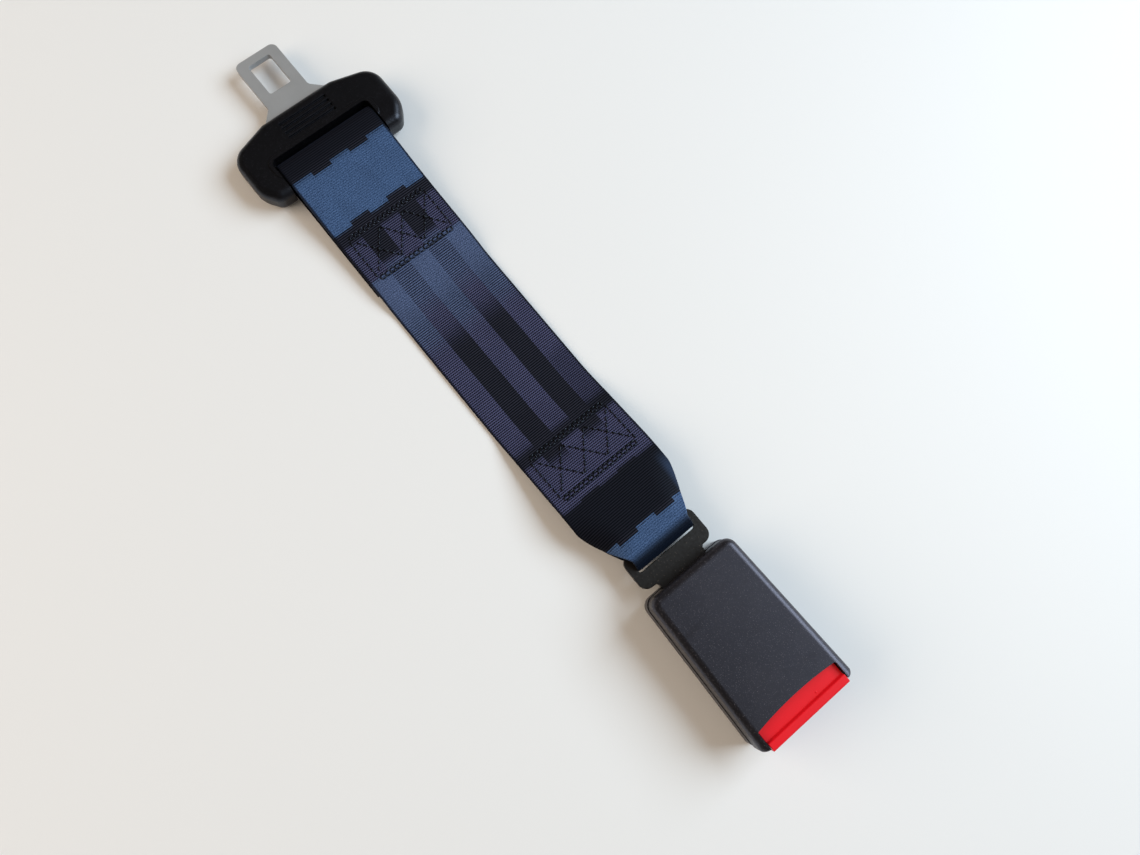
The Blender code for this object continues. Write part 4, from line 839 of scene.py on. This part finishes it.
def section_ring(x, layer):
    """Closed outline of the cloth's cross section: (across on it, y, height over the middle line)."""
    line = web_section(x, layer)
    half = WEB_THICKNESS / 2
    normals = []
    for index in range(len(line)):
        _, y0, n0 = line[max(index - 1, 0)]
        _, y1, n1 = line[min(index + 1, len(line) - 1)]
        normals.append(Vector((n0 - n1, y1 - y0)).normalized())
    ring = [(a, y + half * m.x, n + half * m.y) for (a, y, n), m in zip(line, normals)]
    for end, turn in ((-1, -1), (0, 1)):
        a, y, n = line[end]
        m = normals[end]
        if end == 0:
            for (b, y1, n1), m1 in reversed(list(zip(line, normals))):
                ring.append((b, y1 - half * m1.x, n1 - half * m1.y))
        for step in range(1, EDGE_STEPS + 1):
            angle = math.pi * step / (EDGE_STEPS + 1)
            start = m if end == -1 else -m
            spun = Vector((
                start.x * math.cos(angle) + start.y * math.sin(angle),
                start.y * math.cos(angle) - start.x * math.sin(angle)))
            ring.append((a, y + half * spun.x, n + half * spun.y))
    return ring


def build_webbing(material):
    stations, length = web_stations(0.0008)
    mesh = bpy.data.meshes.new("strap_webbing")
    bm = bmesh.new()
    rows, alongs, acrosses = [], [], []
    for place, x, z, tangent, layer in stations:
        normal = Vector((-tangent.z, 0, tangent.x))
        slip = side_slip(x, layer)
        row = []
        for across, y, rise in section_ring(x, layer):
            row.append(bm.verts.new(Vector((x, y + slip, z)) + normal * rise))
            alongs.append(1000 * (place + WEB_BAR_X))
            acrosses.append(1000 * across)
        rows.append(row)
    count = len(rows[0])
    for first, second in zip(rows, rows[1:]):
        for index in range(count):
            after = (index + 1) % count
            bm.faces.new((first[index], second[index], second[after], first[after]))
    bm.faces.new(rows[0])
    bm.faces.new(reversed(rows[-1]))
    bmesh.ops.recalc_face_normals(bm, faces=bm.faces)
    bm.to_mesh(mesh)
    bm.free()
    for name, values in (("along", alongs), ("across", acrosses)):
        attribute = mesh.attributes.new(name, "FLOAT", "POINT")
        attribute.data.foreach_set("value", values)
    piece = add_piece("strap_webbing", mesh, material, "strap", ["webbing"], 60)
    return piece, length


# Stitching

STITCH_LENGTH = 0.0027
STITCH_RADIUS = 0.00028
RUNG_COUNT = 15
CROSSED_CELLS = 3


def seam_lines(near_x, far_x):
    """Straight runs of stitches of one sewn box."""
    side = SEAM_WIDTH / 2
    row = ROW_SPACING if far_x > near_x else -ROW_SPACING
    low = near_x + 2 * row
    high = far_x - 2 * row
    lines = []
    for x in (near_x, near_x + row, far_x - row, far_x):
        lines.append(((x, ROW_SPACING / 2 - side), (x, side - ROW_SPACING / 2)))
    for y in (-side, side):
        lines.append(((low - row, y), (high + row, y)))
    rungs = spaced(ROW_SPACING - side, side - ROW_SPACING / 2, CROSSED_CELLS)
    for y0, y1 in zip(rungs, rungs[1:]):
        lines.append(((low, y0), (high, y1)))
        lines.append(((low, y1), (high, y0)))
    return lines


def rung_lines(near_x, far_x):
    """Short stitches that join the two rows at each end of a box."""
    side = SEAM_WIDTH / 2
    row = ROW_SPACING if far_x > near_x else -ROW_SPACING
    lines = []
    for x, out in ((near_x, -row), (far_x, row)):
        for y in spaced(ROW_SPACING / 2 - side, side - ROW_SPACING / 2, RUNG_COUNT):
            lines.append(((x, y), (x - out, y)))
    return lines


def add_stitch(bm, start, end, height, outward, lift):
    """One stitch: a short cord that comes out of the cloth and goes back into it."""
    sides = 7
    shares = (0.0, 0.08, 0.22, 0.5, 0.78, 0.92, 1.0)
    rises = (-0.00050, -0.00008, 0.00020, 0.00030, 0.00020, -0.00008, -0.00050)
    run = Vector((end[0] - start[0], end[1] - start[1], 0)).normalized()
    sideways = Vector((-run.y, run.x, 0))
    rings = []
    for share, rise in zip(shares, rises):
        x = start[0] + (end[0] - start[0]) * share
        y = start[1] + (end[1] - start[1]) * share
        surface = height(x) + outward * WEB_THICKNESS / 2
        centre = Vector((x, y, surface + outward * (rise + lift * math.sin(math.pi * share))))
        ring = []
        for index in range(sides):
            angle = 2 * math.pi * index / sides
            offset = sideways * math.cos(angle) + Vector((0, 0, math.sin(angle)))
            ring.append(bm.verts.new(centre + offset * STITCH_RADIUS))
        rings.append(ring)
    for first, second in zip(rings, rings[1:]):
        for index in range(sides):
            after = (index + 1) % sides
            bm.faces.new((first[index], second[index], second[after], first[after]))
    bm.faces.new(rings[0])
    bm.faces.new(reversed(rings[-1]))


def build_seam(name, node, near_x, far_x, height, outward, material):
    bm = bmesh.new()
    for number, (start, end) in enumerate(seam_lines(near_x, far_x)):
        length = math.dist(start, end)
        count = RUNG_COUNT if number < 4 else max(1, round(length / STITCH_LENGTH))
        crossing = number >= 7 and number % 2 == 1
        for index in range(count):
            first = (index + 0.05) / count
            last = (index + 0.95) / count
            middle = abs((first + last) / 2 - 0.5) * length
            lift = 0.00045 if crossing and middle < 0.9 * STITCH_LENGTH else 0.0
            ends = [[start[k] + (end[k] - start[k]) * share for k in (0, 1)] for share in (first, last)]
            add_stitch(bm, ends[0], ends[1], height, outward, lift)
    for start, end in rung_lines(near_x, far_x):
        add_stitch(bm, start, end, height, outward, 0.0)
    bmesh.ops.recalc_face_normals(bm, faces=bm.faces)
    mesh = bpy.data.meshes.new(name)
    bm.to_mesh(mesh)
    bm.free()
    return add_piece(name, mesh, material, "strap", [node], 60)


# Tongue

def tongue_plate_edge(grow=0.0):
    blade = BLADE_WIDTH / 2 + grow
    flare_x = COVER_FRONT_X - 0.0059 - grow / 2
    beam = WEB_SLOT_WIDTH / 2 + EYE_MARGIN + BEAM_WIDTH + grow
    beam_x = SLOT_FRONT_X - 0.0120 - grow
    rear_x = WEB_BAR_X + EYE_REAR + grow
    half = [
        (TIP_X - grow, blade, 0.0030),
        (flare_x, blade, 0.0030),
        (beam_x, blade + beam_x - flare_x, 0.0015),
        (beam_x, beam, 0.0030),
        (rear_x, beam, 0.0030),
    ]
    return mirrored(half)


def tongue_eye(shrink=0.0):
    half_width = WEB_SLOT_WIDTH / 2 + EYE_MARGIN - shrink
    return rectangle(
        SLOT_FRONT_X - EYE_MARGIN + shrink, WEB_BAR_X - EYE_REAR - shrink, -half_width, half_width, 0.00125)


def build_tongue_plate(material):
    window = rectangle(WINDOW_NEAR_X, WINDOW_FAR_X, -WINDOW_SIDE, WINDOW_SIDE, 0.0012)
    bottom = WEB_BAR_Z - PLATE_THICKNESS / 2
    top = WEB_BAR_Z + PLATE_THICKNESS / 2
    mesh = plate_mesh([tongue_plate_edge(), window, tongue_eye()], bottom, top)

    def on_face(middle):
        return min(abs(middle.z - bottom), abs(middle.z - top)) < WELD

    def outer_edge(middle):
        in_window = abs(middle.y) <= WINDOW_SIDE + WELD and middle.x > TIP_X + WELD
        return on_face(middle) and middle.x < COVER_FRONT_X - 0.0002 and not in_window

    def window_edge(middle):
        in_window = abs(middle.y) <= WINDOW_SIDE + WELD and TIP_X + 0.0035 < middle.x < TIP_X + 0.022
        return on_face(middle) and in_window

    round_edges(mesh, 0.00085, 5, outer_edge)
    round_edges(mesh, 0.00025, 3, window_edge)
    edge = mesh.attributes.new("edge", "FLOAT", "POINT")
    rim = []
    for vert in mesh.vertices:
        in_window = abs(vert.co.y) <= 0.0060 and TIP_X + 0.0035 < vert.co.x < TIP_X + 0.022
        depth = min(abs(vert.co.z - bottom), abs(vert.co.z - top)) / 0.0004
        rim.append(0.25 * min(depth, 1.0) if in_window else min(depth, 1.0))
    edge.data.foreach_set("value", rim)
    return add_piece("tongue_steel", mesh, material, "tongue", ["tongue_plate"])


def cover_outline():
    rear_x = WEB_BAR_X + 0.0104
    side = WEB_SLOT_WIDTH / 2 + 0.0124
    half = [
        (COVER_FRONT_X, 0.0178, 0.0060),
        (COVER_FRONT_X + 0.0058, side, 0.0090),
        (WEB_BAR_X + 0.0025, side, 0.0120),
        (rear_x, side - 0.0054, 0.0046),
    ]
    return mirrored(half)


def groove_cutter(x, level):
    """A groove with chamfered sides, cut into the top (level 1) or the underside (level -1)."""
    face = COVER_HEIGHT if level == 1 else 0.0
    wide, narrow, chamfer, depth = 0.00082, 0.00062, 0.00020, 0.0010
    outline = [
        (x - wide, face + level * 0.001, 0.0),
        (x - wide, face, 0.0),
        (x - narrow, face - level * chamfer, 0.0),
        (x - narrow, face - level * depth, 0.0002),
        (x + narrow, face - level * depth, 0.0002),
        (x + narrow, face - level * chamfer, 0.0),
        (x + wide, face, 0.0),
        (x + wide, face + level * 0.001, 0.0),
    ]
    return profile_mesh([outline], -GROOVE_SIDE, GROOVE_SIDE)


def build_tongue_cover(material):
    mesh = dome_mesh(
        lambda depth: inset_corners(cover_outline(), depth), 0.0, COVER_HEIGHT, COVER_EDGE, COVER_EDGE, 10)
    slot_side = WEB_SLOT_WIDTH / 2
    lip_side = slot_side + COVER_LIP
    lip = plate_mesh(
        [rectangle(SLOT_FRONT_X - COVER_LIP, WEB_BAR_X + WEB_BAR_RADIUS, -lip_side, lip_side, 0.0043)],
        WEB_BAR_Z, COVER_HEIGHT + 0.0004)
    round_edges(lip, 0.00035, 4, lambda middle: middle.z > COVER_HEIGHT)
    opening = plate_mesh(
        [rectangle(SLOT_FRONT_X, WEB_BAR_X + TALL, -slot_side, slot_side, 0.0025)], -TALL, TALL)
    bar = rod_mesh(WEB_BAR_X, WEB_BAR_Z, WEB_BAR_RADIUS, WEB_SLOT_WIDTH + 2 * EYE_MARGIN)
    half_pocket = PLATE_THICKNESS / 2 + CLEARANCE
    pocket = plate_mesh(
        [tongue_plate_edge(CLEARANCE), tongue_eye(CLEARANCE)],
        WEB_BAR_Z - half_pocket, WEB_BAR_Z + half_pocket)
    steps = [("UNION", lip), ("DIFFERENCE", opening), ("UNION", bar), ("DIFFERENCE", pocket)]
    for index in range(GROOVE_COUNT):
        x = COVER_FRONT_X + GROOVE_START + index * GROOVE_PITCH
        steps.append(("DIFFERENCE", groove_cutter(x, 1)))
        steps.append(("DIFFERENCE", groove_cutter(x, -1)))
    cover = combined(mesh, steps)
    return add_piece("tongue_grip_cover", cover, material, "tongue", ["tongue_cover"])


# Buckle

def build_anchor_plate(material):
    front_x = ANCHOR_BAR_X - 0.0030
    half = [
        (front_x, ANCHOR_WIDTH / 2, 0.0040),
        (SHOULDER_X, ANCHOR_WIDTH / 2, 0.0040),
        (SHOULDER_X, NECK_WIDTH / 2, 0.00133),
        (NECK_END_X, NECK_WIDTH / 2, 0.0040),
    ]
    slot_side = ANCHOR_SLOT_WIDTH / 2
    slot = rectangle(ANCHOR_SLOT_X, ANCHOR_SLOT_X + ANCHOR_SLOT, -slot_side, slot_side, 0.499 * ANCHOR_SLOT)
    reach = 0.0042
    hole = rectangle(RIVET_X - reach, RIVET_X + reach, -reach, reach, 0.999 * reach)
    bottom = ANCHOR_Z - ANCHOR_THICKNESS / 2
    top = ANCHOR_Z + ANCHOR_THICKNESS / 2
    mesh = plate_mesh([mirrored(half), slot, hole], bottom, top)

    def shown_edge(middle):
        return min(abs(middle.z - bottom), abs(middle.z - top)) < WELD and middle.x < SHOULDER_X + 0.003

    round_edges(mesh, 0.0005, 4, shown_edge)
    return add_piece("anchor_link", mesh, material, "buckle", ["anchor_plate"])


def shell_half_width(x):
    share = (x - BUCKLE_REAR_X) / BUCKLE_LENGTH
    return (BUCKLE_REAR_WIDTH + (BUCKLE_FRONT_WIDTH - BUCKLE_REAR_WIDTH) * share) / 2


def shell_outline(inset, corner, rounding, front_x):
    rear_x = BUCKLE_REAR_X + inset
    half = [
        (rear_x, shell_half_width(rear_x) - inset, corner),
        (front_x, shell_half_width(front_x) - inset, max(corner * rounding, MIN_RADIUS)),
    ]
    return mirrored(half)


def neck_gap():
    side = NECK_WIDTH / 2 + 2 * CLEARANCE
    reach = ANCHOR_THICKNESS / 2 + CLEARANCE
    return block_mesh(
        BUCKLE_REAR_X - 2 * CLEARANCE, BUCKLE_REAR_X + SHELL_WALL + CLEARANCE, -side, side,
        ANCHOR_Z - reach, ANCHOR_Z + reach)


def bay_arc():
    """The edge of the top cover over the button, from one side of the bay to the other."""
    side = BUTTON_BAY_WIDTH / 2
    arc = [
        (BUCKLE_FRONT_X - BAY_DEPTH + BAY_BOW * (y / side) ** 2, y, 0.0)
        for y in spaced(-side, side, 20)]
    for end in (0, -1):
        arc[end] = (*arc[end][:2], 0.0007)
    return arc


def build_top_cover(material):
    bottom = SPLIT_HEIGHT + CLEARANCE
    mesh = dome_mesh(
        lambda depth: shell_outline(depth, SHELL_CORNER - depth, TOP_ROUNDING, BUCKLE_FRONT_X),
        bottom, BUCKLE_HEIGHT, 0.0, ROOF_EDGE, 12)
    inside_x = BUCKLE_FRONT_X - 0.0076 + CLEARANCE
    inside = plate_mesh(
        [shell_outline(SHELL_WALL, INNER_CORNER, TOP_ROUNDING, inside_x)],
        bottom - CLEARANCE, SHELL_CEILING)
    side = BUTTON_BAY_WIDTH / 2
    bay = bay_arc() + [(BUCKLE_FRONT_X + TALL, side, 0.0), (BUCKLE_FRONT_X + TALL, -side, 0.0)]
    steps = [
        ("DIFFERENCE", inside),
        ("DIFFERENCE", plate_mesh([bay], SPLIT_HEIGHT - CLEARANCE, BUCKLE_HEIGHT + CLEARANCE)),
        ("DIFFERENCE", neck_gap()),
    ]
    rib_front = BUTTON_ARM_X - BUTTON_SPRING_LENGTH - 2 * CLEARANCE
    arm_z = BUTTON_BASE + BUTTON_ARM_HEIGHT / 2 + CLEARANCE
    for y in (BUTTON_ARM_Y, -BUTTON_ARM_Y):
        rib = block_mesh(
            rib_front - RIB_LENGTH, rib_front, y - RIB_SIDE, y + RIB_SIDE,
            arm_z - RIB_SIDE, SHELL_CEILING + 0.00085)
        steps.append(("UNION", rib))
    shell = combined(mesh, steps)
    return add_piece(
        "buckle_upper_shell", shell, material, "buckle", ["buckle_top_cover"])


def build_bottom_cover(material):

    def outline(depth):
        return shell_outline(depth - CLEARANCE, SHELL_CORNER - depth, LOWER_ROUNDING, BUCKLE_FRONT_X)

    mesh = dome_mesh(outline, 0.0, SPLIT_HEIGHT, 0.0018, 0.0002, 8)
    inside = shell_outline(SHELL_WALL, INNER_CORNER, LOWER_ROUNDING, BUCKLE_FRONT_X - SHELL_WALL)
    sill_side = BUTTON_BAY_WIDTH / 2 - 2 * CLEARANCE
    sill = block_mesh(
        BUCKLE_FRONT_X - SHELL_WALL, BUCKLE_FRONT_X, -sill_side, sill_side,
        SPLIT_HEIGHT - SHELL_WALL, MOUTH_TOP + CLEARANCE)
    mouth = block_mesh(
        BUCKLE_FRONT_X - 2 * SHELL_WALL, BUCKLE_FRONT_X + SHELL_WALL, -MOUTH_WIDTH / 2, MOUTH_WIDTH / 2,
        FRAME_TOP, TALL)
    steps = [
        ("DIFFERENCE", plate_mesh([inside], SHELL_WALL, TALL)),
        ("DIFFERENCE", neck_gap()),
        ("UNION", sill),
        ("DIFFERENCE", mouth),
    ]
    for x in (RIVET_X + 0.0060 + 0.0050, BUCKLE_FRONT_X - 0.0075 - 0.0050):
        pad = block_mesh(x - PAD_SIDE, x + PAD_SIDE, -PAD_REACH, PAD_REACH, SHELL_WALL / 2, PAD_TOP)
        steps.append(("UNION", pad))
    shell = combined(mesh, steps)
    return add_piece(
        "buckle_lower_shell", shell, material, "buckle", ["buckle_bottom_cover"])


def build_button(material):
    lip_x = BUTTON_FRONT_X - BUTTON_LIP
    profile = [
        (BUTTON_REAR_X, BUTTON_BASE, 0.0),
        (BUTTON_REAR_X, LOCK_BASE, 0.0),
        (BUTTON_TUCK_X, LOCK_BASE, 0.0),
        (BUTTON_TUCK_X, BUTTON_TOP, 0.0),
        (lip_x - 0.0004, BUTTON_TOP, 0.0003),
        (lip_x, BUTTON_LIP_TOP, 0.0006),
        (BUTTON_FRONT_X, BUTTON_LIP_TOP, 0.0009),
        (BUTTON_FRONT_X, BUTTON_BASE, 0.0007),
    ]
    mesh = profile_mesh([profile], -BUTTON_WIDTH / 2, BUTTON_WIDTH / 2)
    round_edges(
        mesh, 0.0003, 3,
        lambda middle: abs(abs(middle.y) - BUTTON_WIDTH / 2) < WELD and middle.x > BUTTON_REAR_X + WELD)
    arm_z = BUTTON_BASE + BUTTON_ARM_HEIGHT / 2 + CLEARANCE
    steps = []
    for y in (BUTTON_ARM_Y, -BUTTON_ARM_Y):
        arm = block_mesh(
            BUTTON_ARM_X, BUTTON_REAR_X + CLEARANCE, y - BUTTON_ARM_WIDTH / 2, y + BUTTON_ARM_WIDTH / 2,
            arm_z - BUTTON_ARM_HEIGHT / 2, arm_z + BUTTON_ARM_HEIGHT / 2)
        steps.append(("UNION", arm))
    gate = bmesh.new()
    spot = Matrix.Translation((BUTTON_FRONT_X - 0.0053, 0.0071, BUTTON_TOP))
    bmesh.ops.create_uvsphere(gate, u_segments=20, v_segments=10, radius=0.00045)
    bmesh.ops.transform(gate, matrix=spot @ Matrix.Diagonal((1, 1, 0.5, 1)), verts=gate.verts)
    nub = bpy.data.meshes.new("gate")
    gate.to_mesh(nub)
    gate.free()
    steps.append(("UNION", nub))
    return add_piece(
        "red_release_button", combined(mesh, steps), material, "button", ["release_button"])


def finish_works():
    """Materials of the works inside the buckle, whose CAD solids are shown as they are."""
    zinc = steel_material("works_steel_surface", (0.44, 0.43, 0.39), (0.44, 0.43, 0.39), 0.38)
    wire_grey = (0.34, 0.34, 0.35)
    wire = steel_material("spring_steel_surface", wire_grey, wire_grey, 0.30, (900, 900, 900))
    acetal = works_plastic_material()
    finishes = {
        zinc: ("anchor_rivet", "buckle_frame", "latch_pin", "latch_plate", "lock_slide"),
        wire: ("ejector_spring", "button_spring_left", "button_spring_right"),
        acetal: ("ejector",),
    }
    for material, names in finishes.items():
        for name in names:
            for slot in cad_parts[name].material_slots:
                slot.material = material


make_camera()
make_studio()

webbing_surface = webbing_material()
thread_surface = thread_material()
shell_surface = plastic_material(
    "moulded_black_surface", (0.0042, 0.0037, 0.0042), (0.0085, 0.0076, 0.0086), (0.125, 0.122, 0.140),
    0.86, (0.80, 0.79, 1.0), 0.42)
grip_surface = plastic_material(
    "moulded_grip_surface", (0.0012, 0.0011, 0.0016), (0.0022, 0.0021, 0.0028), (0.020, 0.020, 0.026),
    0.50, (0.76, 0.82, 1.0), 0.37)
tongue_surface = steel_material(
    "bright_steel_surface", (0.385, 0.40, 0.425), (0.02, 0.02, 0.022), 0.42, metallic=0.35)
webbing, web_length = build_webbing(webbing_surface)
for end, near_x, far_x in (
        ("tongue_end", TONGUE_SEAM_X, TONGUE_SEAM_X + SEAM_LENGTH),
        ("buckle_end", BUCKLE_SEAM_X, BUCKLE_SEAM_X - SEAM_LENGTH)):
    for level, height, outward in (("needle", upper_height, 1), ("bobbin", lower_height, -1)):
        build_seam(
            "%s_stitches_%s" % (level, end), "%s_thread_%s" % (level, end), near_x, far_x, height, outward,
            thread_surface)
build_tongue_plate(tongue_surface)
build_tongue_cover(grip_surface)
build_anchor_plate(coated_material())
build_top_cover(shell_surface)
build_bottom_cover(shell_surface)
build_button(button_material())
finish_works()
